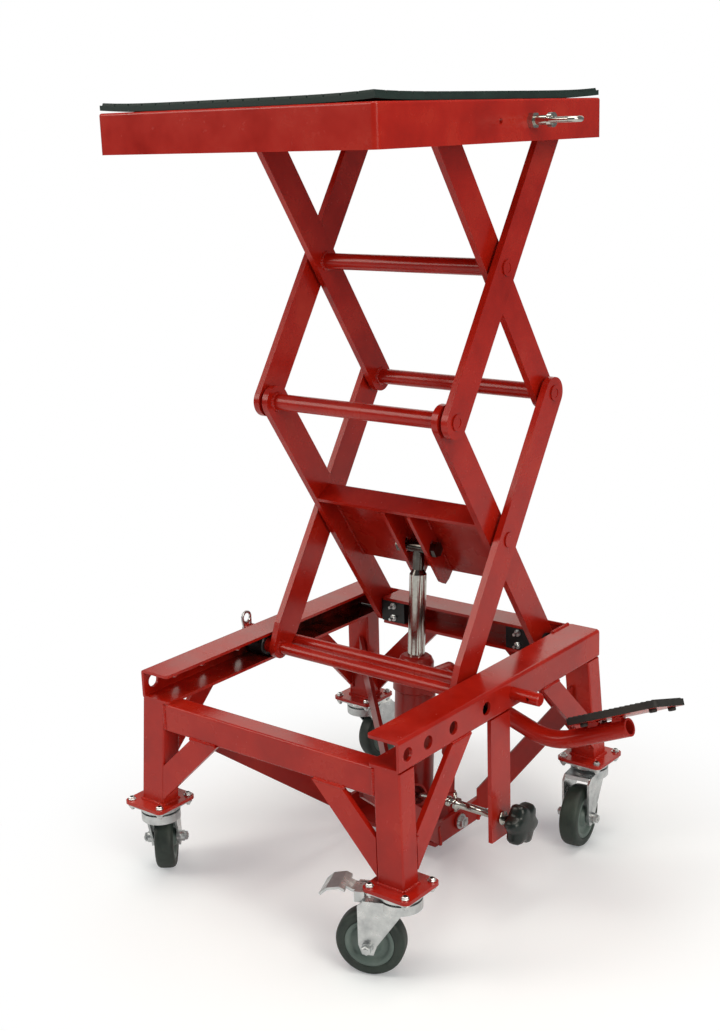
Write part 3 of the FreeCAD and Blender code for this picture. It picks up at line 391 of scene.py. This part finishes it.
# %% Helpers that build and bake a tree of geometry nodes
def sprout(title, sizes):
    tree = bpy.data.node_groups.new(title, "GeometryNodeTree")
    tree.interface.new_socket("Geometry", in_out="INPUT", socket_type="NodeSocketGeometry")
    for name, value in sizes.items():
        kind = "NodeSocketFloat"
        if isinstance(value, bpy.types.Material):
            kind = "NodeSocketMaterial"
        elif isinstance(value, int):
            kind = "NodeSocketInt"
        tree.interface.new_socket(name, in_out="INPUT", socket_type=kind)
    tree.interface.new_socket("Geometry", in_out="OUTPUT", socket_type="NodeSocketGeometry")
    return tree, tree.nodes.new("NodeGroupInput").outputs


def end(tree, shape, material):
    real = add(tree, "GeometryNodeRealizeInstances", Geometry=shape)
    shade = add(tree, "GeometryNodeSetMaterial", Geometry=real.outputs[0], Material=material)
    add(tree, "NodeGroupOutput", i0=shade.outputs[0])


def grow(title, tree, sizes, body, guide=None, stands_for=(), smooth=False):
    """Grow the tree on a guide mesh and keep the result as a plain piece."""
    guide = guide or bpy.data.meshes.new(title + " guide")
    seed = bpy.data.objects.new(title + " seed", guide)
    SHOP.objects.link(seed)
    layer = seed.modifiers.new("grow", "NODES")
    layer.node_group = tree
    for item in tree.interface.items_tree:
        if item.in_out == "INPUT" and item.name in sizes:
            layer[item.identifier] = sizes[item.name]
    graph = bpy.context.evaluated_depsgraph_get()
    mesh = bpy.data.meshes.new_from_object(seed.evaluated_get(graph))
    mesh.name = title
    bpy.data.objects.remove(seed)
    print("  grown:", title, len(mesh.polygons), "faces")
    return settle(title, mesh, None, body, stands_for, smooth)


def math_node(tree, operation, a, b=0.0):
    return add(tree, "ShaderNodeMath", {"operation": operation}, i0=a, i1=b).outputs[0]


print("tree helpers ready")

# %% [markdown]
# Every joint of the frame is arc welded, and the beads are what tell a welded frame from
# a moulded one. A bead is a round-backed ridge with a ripple at every pulse of the
# torch. The tree turns guide lines into curves and sweeps a circle along them, scaled by
# a wave along the length; a texture alone would leave the outline flat.

# %% Tree: rippled weld bead
BEAD = {"Radius": mm(2.4), "Ripple": mm(3.2), "Step": mm(1.1), "Paint": red}
bead_tree, given = sprout("weld bead", BEAD)
line = add(bead_tree, "GeometryNodeMeshToCurve", Mesh=given["Geometry"]).outputs[0]
line = add(bead_tree, "GeometryNodeResampleCurve", {"mode": "LENGTH"}, Curve=line,
           Length=given["Step"]).outputs[0]
along = add(bead_tree, "GeometryNodeSplineParameter").outputs["Length"]
turn = math_node(bead_tree, "DIVIDE", along, given["Ripple"])
wave = math_node(bead_tree, "ABSOLUTE", math_node(bead_tree, "SINE",
                 math_node(bead_tree, "MULTIPLY", turn, math.pi)))
hand = add(bead_tree, "ShaderNodeTexNoise", Scale=160.0).outputs[0]
size = math_node(bead_tree, "ADD", math_node(bead_tree, "MULTIPLY", wave, 0.22),
                 math_node(bead_tree, "ADD", math_node(bead_tree, "MULTIPLY", hand, 0.35), 0.62))
ring = add(bead_tree, "GeometryNodeCurvePrimitiveCircle", Resolution=8,
           Radius=given["Radius"]).outputs[0]
skin = add(bead_tree, "GeometryNodeCurveToMesh", Curve=line, Profile_Curve=ring, Scale=size,
           Fill_Caps=True).outputs[0]
end(bead_tree, skin, given["Paint"])
print("bead nodes:", len(bead_tree.nodes))

# %% [markdown]
# The guide lines follow the real seams: round each leg where it meets rail and foot,
# along both edges of every brace, round the cross tubes, and along the lifting angle.

# %% Weld beads on the base
FRONT, REAR = -200.0, 203.0
MIDDLE_Y = (FRONT + REAR) / 2
FOOT_Z, FLANGE = 105.0, 41.5
LEG_X, LEG_Y, SPLAY = 34, 26, 0.0524     # leg tube, and how far it leans out for each mm down
BRACE_END, CRADLE_X = 200, 70            # top of the end braces' weld, and the cradle's walls


def seams_to_mesh(title, seams):
    form = bmesh.new()
    for seam in seams:
        spots = [form.verts.new(place(*p)) for p in seam]
        for a, b in zip(spots, spots[1:]):
            form.edges.new((a, b))
    mesh = bpy.data.meshes.new(title)
    form.to_mesh(mesh)
    form.free()
    return mesh


def four_ways(seam):
    """The seam of the front right corner, copied to all four corners."""
    for sx in (1, -1):
        yield [(x * sx, y, z) for x, y, z in seam]
        yield [(x * sx, 2 * MIDDLE_Y - y, z) for x, y, z in seam]


def lean(z):
    return SPLAY * (LOW - z)


out = lean(FOOT_Z)
LEG_IN, LEG_BACK = RAIL - LEG_X, FRONT + LEG_Y
foot_ring = [(RAIL + out, FRONT - out, FOOT_Z), (LEG_IN + out, FRONT - out, FOOT_Z),
             (LEG_IN + out, LEG_BACK - out, FOOT_Z), (RAIL + out, LEG_BACK - out, FOOT_Z),
             (RAIL + out, FRONT - out, FOOT_Z)]
side_seams = [
    [(RAIL - 1, LEG_BACK - lean(118) + 0.5, 119), (RAIL + 3, LEG_BACK - lean(157) + 0.5, 156)],
    [(RAIL - 1, FRONT + 24 + 74 * 0.93, LOW), (RAIL - 1, FRONT + 24 + 112 * 0.93, LOW)],
]
end_seams = [[(LEG_IN + 1 + lean(z), FRONT + 3 - lean(z), z) for z in (112, 152)]]
top_ring = [(LEG_IN, FRONT + 1, LOW), (LEG_IN, LEG_BACK, LOW), (RAIL - 4, LEG_BACK, LOW)]
base_seams = []
for seam in [foot_ring, top_ring] + side_seams + end_seams:
    base_seams += list(four_ways(seam))
for sx in (1, -1):
    for y in (FRONT + 0.5, LEG_BACK):
        base_seams.append([(sx * LEG_IN, y, BRACE_END), (sx * LEG_IN, y, LOW - 1)])
    base_seams.append([(sx * 112, FRONT, BRACE_END - 2), (sx * 72, FRONT, BRACE_END - 2)])
    base_seams.append([(sx * 78, REAR, LOW), (sx * 38, REAR, LOW)])
    base_seams.append([(sx * (RAIL - FLANGE), REAR - y, TOP) for y in (3, 40)])
    base_seams.append([(sx * CRADLE_X, 27, 22), (sx * CRADLE_X, 24, 47)])
    base_seams.append([(sx * CRADLE_X, 108, 22), (sx * CRADLE_X, 111, 47)])
base_seams.append([(RAIL - 6, -33, LOW), (RAIL - 6, 3, LOW)])
grow("weld_beads_base", bead_tree, BEAD, "base", seams_to_mesh("base seams", base_seams))
print("base seams:", len(base_seams))

# %% [markdown]
# The scissor's own seams ride with the arms they join, so each body gets its own bead
# piece. A ring round a tube is drawn as a polygon of short lines.

# %% Weld beads on the scissor
ARM, RAISED = 364.3, math.radians(57.07)
PIVOT_Z, REAR_PIN = 248.5, 178.0
FRONT_PIN = REAR_PIN - ARM * math.cos(RAISED)
RISE = ARM * math.sin(RAISED)
MID_Z, TOP_PIN = PIVOT_Z + RISE, PIVOT_Z + 2 * RISE
CROSS_Y = (REAR_PIN + FRONT_PIN) / 2
INNER, OUTER = 116.0, 129.0
TUBE_BEAD, SLIDE_BEAD, EAR_FACE = 9.6, 7.6, 21.0


def ring_seam(x, y, z, radius, steps=24):
    return [(x, y + radius * math.cos(2 * math.pi * i / steps),
             z + radius * math.sin(2 * math.pi * i / steps)) for i in range(steps + 1)]


def on_arm(x, s, n):
    """s up the lower inner arm from its pivot, n out to its lower face."""
    c, k = math.cos(RAISED), math.sin(RAISED)
    return (x, REAR_PIN - s * c - n * k, PIVOT_Z + s * k - n * c)


angle_seams = []
for sx in (1, -1):
    x = sx * INNER
    angle_seams.append(ring_seam(x, FRONT_PIN, MID_Z, TUBE_BEAD))
    angle_seams.append([on_arm(x, s, -6.0) for s in (96, 130, 170, 214)])
    angle_seams.append([on_arm(x, 215.6, n) for n in (-5, 5, 17)])
    for stitch in ((97, 126), (170, 214)):      # clear of the jack's bolt heads between them
        angle_seams.append([on_arm(sx * EAR_FACE, s, -6.4) for s in stitch])
grow("weld_beads_lower_inner", bead_tree, BEAD, "lower_inner_arms",
     seams_to_mesh("angle seams", angle_seams))
tube_seams = []
for sx in (1, -1):
    tube_seams.append(ring_seam(sx * INNER, REAR_PIN, MID_Z, TUBE_BEAD))
    tube_seams.append(ring_seam(sx * INNER, CROSS_Y, MID_Z + RISE / 2, TUBE_BEAD))
    tube_seams.append(ring_seam(sx * INNER, FRONT_PIN, TOP_PIN, TUBE_BEAD))
grow("weld_beads_upper_inner", bead_tree, BEAD, "upper_inner_arms",
     seams_to_mesh("tube seams", tube_seams))
slide_seams = [ring_seam(sx * OUTER, FRONT_PIN, PIVOT_Z, SLIDE_BEAD) for sx in (1, -1)]
grow("weld_beads_slide_bar", bead_tree, BEAD, "lower_outer_arms",
     seams_to_mesh("slide seams", slide_seams))
print("scissor beads grown")

# %% [markdown]
# Hexagon screws hold the casters, the hinge brackets and the pivots. One tree makes a
# washer, a chamfered six-sided head and a short end of thread, stands it along each
# guide point's own direction, and copies it. The direction is stored on the points as
# a vector, so one guide can hold screws that face every way.

# %% Tree: hexagon screw
SCREW = {"Head": mm(3.7), "Height": mm(1.9), "Washer": mm(4.6), "Tail": mm(0.1),
         "Plate": zinc}
screw_tree, given = sprout("hexagon screw", SCREW)


def drum(radius, depth, sides, top=None, lift=0.0):
    """Capped cylinder or cone frustum whose base stands at the lift height."""
    cone = add(screw_tree, "GeometryNodeMeshCone", Vertices=sides, Radius_Bottom=radius,
               Radius_Top=top if top is not None else radius, Depth=depth).outputs["Mesh"]
    up = add(screw_tree, "ShaderNodeCombineXYZ", Z=lift).outputs[0]
    return add(screw_tree, "GeometryNodeTransform", Geometry=cone, Translation=up).outputs[0]


THICK = mm(1.2)
washer = drum(given["Washer"], THICK, 24)
shank = drum(given["Head"], given["Height"], 6, lift=THICK)
over = math_node(screw_tree, "ADD", given["Height"], THICK)
crown = drum(given["Head"], mm(0.7), 6, math_node(screw_tree, "MULTIPLY", given["Head"], 0.84),
             over)
thread = drum(math_node(screw_tree, "MULTIPLY", given["Head"], 0.52),
              math_node(screw_tree, "ADD", given["Tail"], mm(0.6)), 16, lift=over)
joined = add(screw_tree, "GeometryNodeJoinGeometry")
for part in (washer, shank, crown, thread):
    screw_tree.links.new(part, joined.inputs[0])
facing = add(screw_tree, "GeometryNodeInputNamedAttribute", {"data_type": "FLOAT_VECTOR"},
             Name="way").outputs[0]
turned = add(screw_tree, "FunctionNodeAlignRotationToVector", {"axis": "Z"}, Vector=facing)
copies = add(screw_tree, "GeometryNodeInstanceOnPoints", Points=given["Geometry"],
             Instance=joined.outputs[0], Rotation=turned.outputs[0])
end(screw_tree, copies.outputs[0], given["Plate"])


def screw_guide(title, screws):
    mesh = bpy.data.meshes.new(title)
    mesh.from_pydata([place(*p) for p, way in screws], [], [])
    ways = mesh.attributes.new("way", "FLOAT_VECTOR", "POINT")
    for item, (p, way) in zip(ways.data, screws):
        item.vector = way
    return mesh


print("screw nodes:", len(screw_tree.nodes))

# %% [markdown]
# Sixteen screws hold the caster plates: heads above, nuts with a little thread below.
# Four longer ones clamp the hinge brackets, and show their ends towards the front.

# %% Screws on the base
FOOT_X, FRONT_FOOT, REAR_FOOT, PLATE_UNDER = 177, -192.5, 195.5, 98.5
caster_screws, caster_nuts = [], []
for sx in (1, -1):
    for foot_y in (FRONT_FOOT, REAR_FOOT):
        for dx in (-23, 23):
            for dy in (-23, 23):
                hole = (sx * FOOT_X + dx, foot_y + dy)
                caster_screws.append(((*hole, FOOT_Z), (0, 0, 1)))
                caster_nuts.append(((*hole, PLATE_UNDER), (0, 0, -1)))
grow("caster_screws", screw_tree, SCREW, "base", screw_guide("screw guide", caster_screws))
grow("caster_nuts", screw_tree, {**SCREW, "Tail": mm(2.0)}, "base",
     screw_guide("nut guide", caster_nuts))
bracket_nuts = [((sx * 95, 162.0, PIVOT_Z + dz), (0, -1, 0)) for sx in (1, -1)
                for dz in (-8, 8)]
grow("bracket_nuts", screw_tree, {**SCREW, "Head": mm(3.6), "Washer": mm(4.4), "Tail": mm(5.5)},
     "base", screw_guide("bracket guide", bracket_nuts))
print("caster screws:", len(caster_screws), "bracket nuts:", len(bracket_nuts))

# %% [markdown]
# The platform is faced with a loose rubber mat: a sheet with square blocks that keep a
# machine from sliding. It has taken a curl, and its four corners stand up a little. The
# tree lays the blocks on a grid, then bends sheet and blocks together, so the curl stays
# one rule instead of hundreds of edits.

# %% Block mat on the platform
MAT = {"Half Width": mm(180.5), "Half Length": mm(199.5), "Sheet": mm(5.2), "Block": mm(18.2),
       "Relief": mm(2.6), "Pitch": mm(19.9), "Curl": mm(2.6), "Across": 18, "Along": 20,
       "Rubber": mat_rubber}
mat_tree, given = sprout("block mat", MAT)
wide = math_node(mat_tree, "MULTIPLY", given["Half Width"], 2.0)
long = math_node(mat_tree, "MULTIPLY", given["Half Length"], 2.0)
size = add(mat_tree, "ShaderNodeCombineXYZ", X=wide, Y=long, Z=given["Sheet"]).outputs[0]
sheet = add(mat_tree, "GeometryNodeMeshCube", Size=size, Vertices_X=73, Vertices_Y=81).outputs[0]
half = math_node(mat_tree, "MULTIPLY", given["Sheet"], 0.5)
up = add(mat_tree, "ShaderNodeCombineXYZ", Z=half).outputs[0]
sheet = add(mat_tree, "GeometryNodeTransform", Geometry=sheet, Translation=up).outputs[0]
span_x = math_node(mat_tree, "MULTIPLY", given["Pitch"],
                   math_node(mat_tree, "SUBTRACT", given["Across"], 1.0))
span_y = math_node(mat_tree, "MULTIPLY", given["Pitch"],
                   math_node(mat_tree, "SUBTRACT", given["Along"], 1.0))
grid = add(mat_tree, "GeometryNodeMeshGrid", Size_X=span_x, Size_Y=span_y,
           Vertices_X=given["Across"], Vertices_Y=given["Along"]).outputs[0]
foot = math_node(mat_tree, "MULTIPLY", given["Block"], 0.7071)
block = add(mat_tree, "GeometryNodeMeshCone", Vertices=4, Radius_Bottom=foot,
            Radius_Top=math_node(mat_tree, "MULTIPLY", foot, 0.93),
            Depth=given["Relief"]).outputs["Mesh"]
raise_by = add(mat_tree, "ShaderNodeCombineXYZ",
               Z=math_node(mat_tree, "SUBTRACT", given["Sheet"], mm(0.05))).outputs[0]
block = add(mat_tree, "GeometryNodeTransform", Geometry=block, Translation=raise_by,
            Rotation=(0, 0, math.pi / 4)).outputs[0]
blocks = add(mat_tree, "GeometryNodeInstanceOnPoints", Points=grid, Instance=block).outputs[0]
blocks = add(mat_tree, "GeometryNodeRealizeInstances", Geometry=blocks).outputs[0]
both = add(mat_tree, "GeometryNodeJoinGeometry")
mat_tree.links.new(sheet, both.inputs[0])
mat_tree.links.new(blocks, both.inputs[0])
spot = add(mat_tree, "GeometryNodeInputPosition").outputs[0]
xyz = add(mat_tree, "ShaderNodeSeparateXYZ", Vector=spot).outputs
far_x = math_node(mat_tree, "POWER", math_node(mat_tree, "ABSOLUTE", math_node(
    mat_tree, "DIVIDE", xyz[0], given["Half Width"])), 5.0)
far_y = math_node(mat_tree, "POWER", math_node(mat_tree, "ABSOLUTE", math_node(
    mat_tree, "DIVIDE", xyz[1], given["Half Length"])), 5.0)
curl = math_node(mat_tree, "MULTIPLY", math_node(mat_tree, "MULTIPLY", far_x, far_y),
                 given["Curl"])
lift = add(mat_tree, "ShaderNodeCombineXYZ", Z=curl).outputs[0]
bent = add(mat_tree, "GeometryNodeSetPosition", Geometry=both.outputs[0], Offset=lift).outputs[0]
tray_top = place(0, -2.0, 882.25)
bent = add(mat_tree, "GeometryNodeTransform", Geometry=bent, Translation=tray_top).outputs[0]
end(mat_tree, bent, given["Rubber"])
grow("platform_mat", mat_tree, MAT, "table", stands_for=("table_mat",))
print("blocks on the mat:", MAT["Across"] * MAT["Along"])

# %% [markdown]
# A caster wheel is a rubber tyre moulded round a nylon core. The tyre is a hoop turned
# from its cross-section, with square shoulders worn round, and the core is dished so that
# its rim catches a ring of light. Turning a profile gives both with a handful of numbers,
# each a radius and a place along the axle. Each corner has its foot and its heading.

# %% Wheels
CASTERS = {"front_left": (-FOOT_X, FRONT_FOOT, 130.0), "front_right": (FOOT_X, FRONT_FOOT, 203.5),
           "rear_left": (-FOOT_X, REAR_FOOT, 80.0), "rear_right": (FOOT_X, REAR_FOOT, -83.0)}
TRAIL, WHEEL_R, FORK_FACE = 33, 37.5, 21.0
TYRE = [(26.6, -10.4), (28.5, -11.2), (33.8, -11.0), (36.0, -9.6), (37.2, -7.2), (37.45, -3.6),
        (37.5, 0.0), (37.45, 3.6), (37.2, 7.2), (36.0, 9.6), (33.8, 11.0), (28.5, 11.2),
        (26.6, 10.4)]
CORE = [(4.2, -12.0), (9.6, -12.0), (10.6, -11.0), (12.2, -7.6), (14.0, -6.6), (19.0, -6.6),
        (20.6, -8.0), (22.4, -10.2), (26.4, -10.6), (27.0, -9.6), (27.0, 9.6), (26.4, 10.6),
        (22.4, 10.2), (20.6, 8.0), (19.0, 6.6), (14.0, 6.6), (12.2, 7.6), (10.6, 11.0),
        (9.6, 12.0), (4.2, 12.0)]
for corner, (x, y, way) in CASTERS.items():
    way = math.radians(way)
    hub = Vector((x + TRAIL * math.cos(way), y + TRAIL * math.sin(way), WHEEL_R))
    axle = Vector((-math.sin(way), math.cos(way), 0))
    body = "caster_wheel_" + corner
    form = bmesh.new()
    lathe(form, TYRE, hub, axle, 72, hoop=True)
    piece_from("tyre_" + corner, form, tyre_rubber, body, (body,))
    form = bmesh.new()
    lathe(form, CORE, hub, axle, 72)
    piece_from("wheel_core_" + corner, form, core_nylon, body)
    ends = [(hub + axle * side * FORK_FACE, axle * side) for side in (-1, 1)]
    grow("axle_nuts_" + corner, screw_tree, {**SCREW, "Head": mm(5.4), "Washer": mm(6.0),
         "Height": mm(3.0), "Tail": mm(1.0)}, "caster_fork_" + corner,
         screw_guide("axle guide", ends))
print("wheels turned:", len(CASTERS))

# %% [markdown]
# The pump plunger is a plain rod inside a coil spring. A spiral curve swept with a
# circle is the coil itself; a stack of rings would show gaps at every turn.

# %% Pump spring and plunger
TILT = math.radians(4.50419)
JACK_FOOT = Vector((0, 66, 38))


def on_jack(x, y, z):
    """A point drawn upright about the jack's base pin, on the leaning jack."""
    return JACK_FOOT + Vector((x, y * math.cos(TILT) + z * math.sin(TILT),
                               z * math.cos(TILT) - y * math.sin(TILT)))


PUMP_X, SPRING_LOW, SPRING_HIGH = 54.0, 96.3, 156.2
COIL = {"Coil Radius": mm(6.3), "Wire": mm(1.15), "Turns": 11.0,
        "Length": mm(SPRING_HIGH - SPRING_LOW), "Steel": zinc}
coil_tree, given = sprout("pump spring", COIL)
helix = add(coil_tree, "GeometryNodeCurveSpiral", Resolution=28, Rotations=given["Turns"],
            Start_Radius=given["Coil Radius"], End_Radius=given["Coil Radius"],
            Height=given["Length"]).outputs[0]
section = add(coil_tree, "GeometryNodeCurvePrimitiveCircle", Resolution=10,
              Radius=given["Wire"]).outputs[0]
coil = add(coil_tree, "GeometryNodeCurveToMesh", Curve=helix, Profile_Curve=section,
           Fill_Caps=True).outputs[0]
foot = on_jack(PUMP_X, 0, SPRING_LOW)
coil = add(coil_tree, "GeometryNodeTransform", Geometry=coil, Translation=place(*foot),
           Rotation=(-TILT, 0, 0)).outputs[0]
end(coil_tree, coil, given["Steel"])
grow("pump_spring", coil_tree, COIL, "plunger", smooth=True)
form = bmesh.new()
up = Vector((0, math.sin(TILT), math.cos(TILT)))
lathe(form, [(3.9, 45), (3.9, SPRING_HIGH - 1), (7.0, SPRING_HIGH - 0.6), (7.0, SPRING_HIGH + 1.6),
             (5.4, SPRING_HIGH + 2.4), (4.6, SPRING_HIGH + 5.2), (2.6, SPRING_HIGH + 6.6)],
      on_jack(PUMP_X, 0, 0), up, 40)
piece_from("pump_rod", form, chrome, "plunger", ("pump_plunger",))
print("spring coils:", COIL["Turns"])

# %% [markdown]
# The jack stands on a pin through the cradle, with a zinc head and washer at both ends.
# They ride on the jack, which turns with the pin.

# %% Heads on the jack's base pin
pin_heads = [((side * 73.0, 66.0, 38.0), (side, 0, 0)) for side in (-1, 1)]
grow("jack_pin_heads", screw_tree, {**SCREW, "Head": mm(7.5), "Washer": mm(9.5),
     "Height": mm(5.0), "Tail": mm(1.5)}, "jack", screw_guide("pin guide", pin_heads))
print("pin heads:", len(pin_heads))

# %% [markdown]
# The release rod is ground steel with a lobed phenolic knob pressed on its end. The knob
# is turned like a bowl, but each ring's radius also swells six times round, which gives
# finger lobes with soft shoulders.

# %% Release rod and knob
ROD_Y, ROD_Z = -14.0, 108.0
form = bmesh.new()
lathe(form, [(3.0, 118.5), (7.0, 119.2), (7.0, 126.5), (4.5, 127.2), (4.5, RAIL + 0.4),
             (7.8, RAIL + 0.6), (7.8, RAIL + 2.4), (4.5, RAIL + 2.6),
             (4.5, RAIL + 18)], Vector((0, ROD_Y, ROD_Z)), (1, 0, 0), 40)
wire(form, [(122, ROD_Y, ROD_Z - 10), (122, ROD_Y, ROD_Z + 13)], 2.0)
piece_from("release_shaft", form, chrome, "release_rod", ("release_rod",))


def lobes(angle, radius):
    return 1.0 + 0.12 * math.cos(6 * angle) * min(1.0, radius / 20.0)


form = bmesh.new()
x = RAIL + 12.0
lathe(form, [(9.0, x), (11.5, x + 0.6), (12.0, x + 3.4), (17.0, x + 4.2), (20.5, x + 5.6),
             (22.2, x + 9.0), (22.4, x + 14.0), (21.8, x + 18.6), (19.6, x + 22.0),
             (15.0, x + 23.6), (8.0, x + 24.0), (4.0, x + 24.0)],
      Vector((0, ROD_Y, ROD_Z)), (1, 0, 0), 96, lobes)
piece_from("release_knob", form, knob_phenolic, "release_rod")
print("knob across:", 2 * 22.4, "mm")

# %% [markdown]
# The foot pedal is a bent tube with a plate on its end. The plate's faces past a small
# height take the rubber, and low ribs lie across it as a row of bars on the pad's own
# plane. Four studs hold the rubber from below.

# %% Pedal pad and its ribs
BEND, TIP = Vector((196, 0, 130.5)), Vector((293, 0, 172.0))
TUBE_R, RIBS, RIB_GAP = 13.5, 17, 6.8
run = (TIP - BEND).normalized()
rise = Vector((-run.z, 0, run.x))
PAD_ROLL = math.radians(-12.0)


def on_pad(s, across, height):
    """A point on the pad: s along it, across it, and height above the tube's axis."""
    turned = Matrix.Rotation(PAD_ROLL, 3, run) @ (Vector((0, 1, 0)) * across
                                                 + rise * (height - TUBE_R))
    spot = BEND + run * s + rise * TUBE_R + turned
    return on_jack(*spot)


lever = nodes["pedal_lever"]
lever.data.materials.append(pad_rubber)
plane = Matrix.Rotation(PAD_ROLL, 3, run) @ rise
base_point = BEND + rise * TUBE_R
for polygon in lever.data.polygons:
    spot = Vector(polygon.center) * 1000 + CENTRE - JACK_FOOT
    flat = Vector((spot.x, spot.y * math.cos(TILT) - spot.z * math.sin(TILT),
                   spot.z * math.cos(TILT) + spot.y * math.sin(TILT)))
    if (flat - base_point).dot(plane) > 0.2 and (flat - base_point).dot(run) > 40:
        polygon.material_index = 1
form = bmesh.new()
for i in range(RIBS):
    s = 50.0 + RIB_GAP * i
    wire(form, [on_pad(s, -29.5, 21.0), on_pad(s, 29.5, 21.0)], 1.5, 8)
piece_from("pedal_ribs", form, pad_rubber, "pedal")
form = bmesh.new()
for s in (62, 152):
    for across in (-20, 20):
        a, b = on_pad(s, across, 13.6), on_pad(s, across, 9.4)
        way = (b - a).normalized()
        lathe(form, [(4.4, 0.0), (4.4, 3.4), (3.4, 4.2)], a, way, 20)
piece_from("pedal_studs", form, pad_rubber, "pedal")
print("ribs on the pedal:", RIBS)

# %% [markdown]
# The table stands on a white studio floor. The floor is a real surface near the table,
# so it takes a soft shadow, and for the camera it fades to plain white further out. White
# could also come from brighter lamps, but they would bleach the paint, so the lamps stay
# at a plain level and the red renders as it is mixed.

# %% Floor, lamps and world
form = bmesh.new()
for x, y in ((-40, -40), (40, -40), (40, 40), (-40, 40)):
    form.verts.new((x, y, -0.0004))
form.faces.new(form.verts)
mesh = bpy.data.meshes.new("studio_floor")
form.to_mesh(mesh)
form.free()
floor = bpy.data.objects.new("studio_floor", mesh)
SHOP.objects.link(floor)
made = bpy.data.materials.new("white studio floor")
made.use_nodes = True
tree = made.node_tree
tree.nodes.clear()
where = add(tree, "ShaderNodeTexCoord").outputs["Object"]
reach = add(tree, "ShaderNodeVectorMath", {"operation": "LENGTH"}, i0=where).outputs["Value"]
fade = add(tree, "ShaderNodeMapRange", {"interpolation_type": "SMOOTHSTEP"}, Value=reach,
           i1=0.24, i2=0.56, i3=0.0, i4=1.0).outputs[0]
ray = add(tree, "ShaderNodeLightPath").outputs
seen = math_node(tree, "MAXIMUM", ray["Is Camera Ray"], ray["Is Transmission Ray"])
plain = add(tree, "ShaderNodeBsdfDiffuse", Color=paint("ecf0f4")).outputs[0]
white = add(tree, "ShaderNodeEmission", Color=grey(1.0), Strength=1.0).outputs[0]
glow = add(tree, "ShaderNodeEmission", Color=paint("f6faff"), Strength=0.18).outputs[0]
near = add(tree, "ShaderNodeAddShader", i0=plain, i1=glow).outputs[0]
near = add(tree, "ShaderNodeMixShader", i0=seen, i1=plain, i2=near).outputs[0]
mixed = add(tree, "ShaderNodeMixShader", i0=math_node(tree, "MULTIPLY", fade, seen), i1=near,
            i2=white).outputs[0]
add(tree, "ShaderNodeOutputMaterial", Surface=mixed)
mesh.materials.append(made)

world = bpy.data.worlds.new("studio")
bpy.context.scene.world = world
world.use_nodes = True
tree = world.node_tree
tree.nodes.clear()
ray = add(tree, "ShaderNodeLightPath").outputs
seen = math_node(tree, "MAXIMUM", ray["Is Camera Ray"], ray["Is Transmission Ray"])
soft = add(tree, "ShaderNodeBackground", Color=grey(1.0), Strength=0.22).outputs[0]
clear = add(tree, "ShaderNodeBackground", Color=grey(1.0), Strength=1.0).outputs[0]
sky = add(tree, "ShaderNodeMixShader", i0=seen, i1=soft, i2=clear).outputs[0]
add(tree, "ShaderNodeOutputWorld", Surface=sky)


def softbox(title, spot, aim, wide, tall, watts):
    lamp = bpy.data.lights.new(title, "AREA")
    lamp.shape = "RECTANGLE"
    lamp.size, lamp.size_y, lamp.energy = wide, tall, watts
    lamp.color = (1.0, 0.94, 0.84)
    made = bpy.data.objects.new(title, lamp)
    SHOP.objects.link(made)
    made.location = spot
    made.visible_camera = False
    made.rotation_euler = (Vector(aim) - Vector(spot)).to_track_quat("-Z", "Y").to_euler()


softbox("overhead box", (0.1, -0.2, 2.7), (0, 0, 0.4), 2.2, 1.8, 46)
softbox("left box", (-1.9, -2.0, 1.9), (0, 0, 0.4), 1.2, 1.6, 27)
softbox("rear box", (-1.3, 2.4, 1.7), (0, 0, 0.3), 2.6, 1.4, 12)
softbox("right box", (2.6, -1.0, 1.7), (0, 0, 0.4), 1.2, 1.6, 40)

# %% [markdown]
# The camera stands at about the height of the platform and looks down a little, with the
# slight lean of one held by hand. Its direction is written as turn, dip and lean, and the
# three axes are worked out from them.

# %% Camera
turn, dip, tip = math.radians(38.838), math.radians(14.987), -0.0342
across = Vector((math.cos(turn), math.sin(turn), 0))
ahead = Vector((-math.sin(turn) * math.cos(dip), math.cos(turn) * math.cos(dip),
                -math.sin(dip)))
down = ahead.cross(across)
right = across * math.cos(tip) - down * math.sin(tip)
down = across * math.sin(tip) + down * math.cos(tip)
lens = bpy.data.cameras.new("studio camera")
lens.lens, lens.sensor_width, lens.sensor_fit = 51.05, 36.0, "AUTO"
lens.clip_start, lens.clip_end = 0.05, 200
camera = bpy.data.objects.new("studio camera", lens)
SHOP.objects.link(camera)
aim = Matrix((right, -down, -ahead)).transposed().to_4x4()
camera.matrix_world = Matrix.Translation(place(1006.1, -1268.5, 862.8)) @ aim
bpy.context.scene.camera = camera
bpy.context.scene.view_settings.view_transform = "Standard"
print("camera at", [round(v, 3) for v in camera.location])
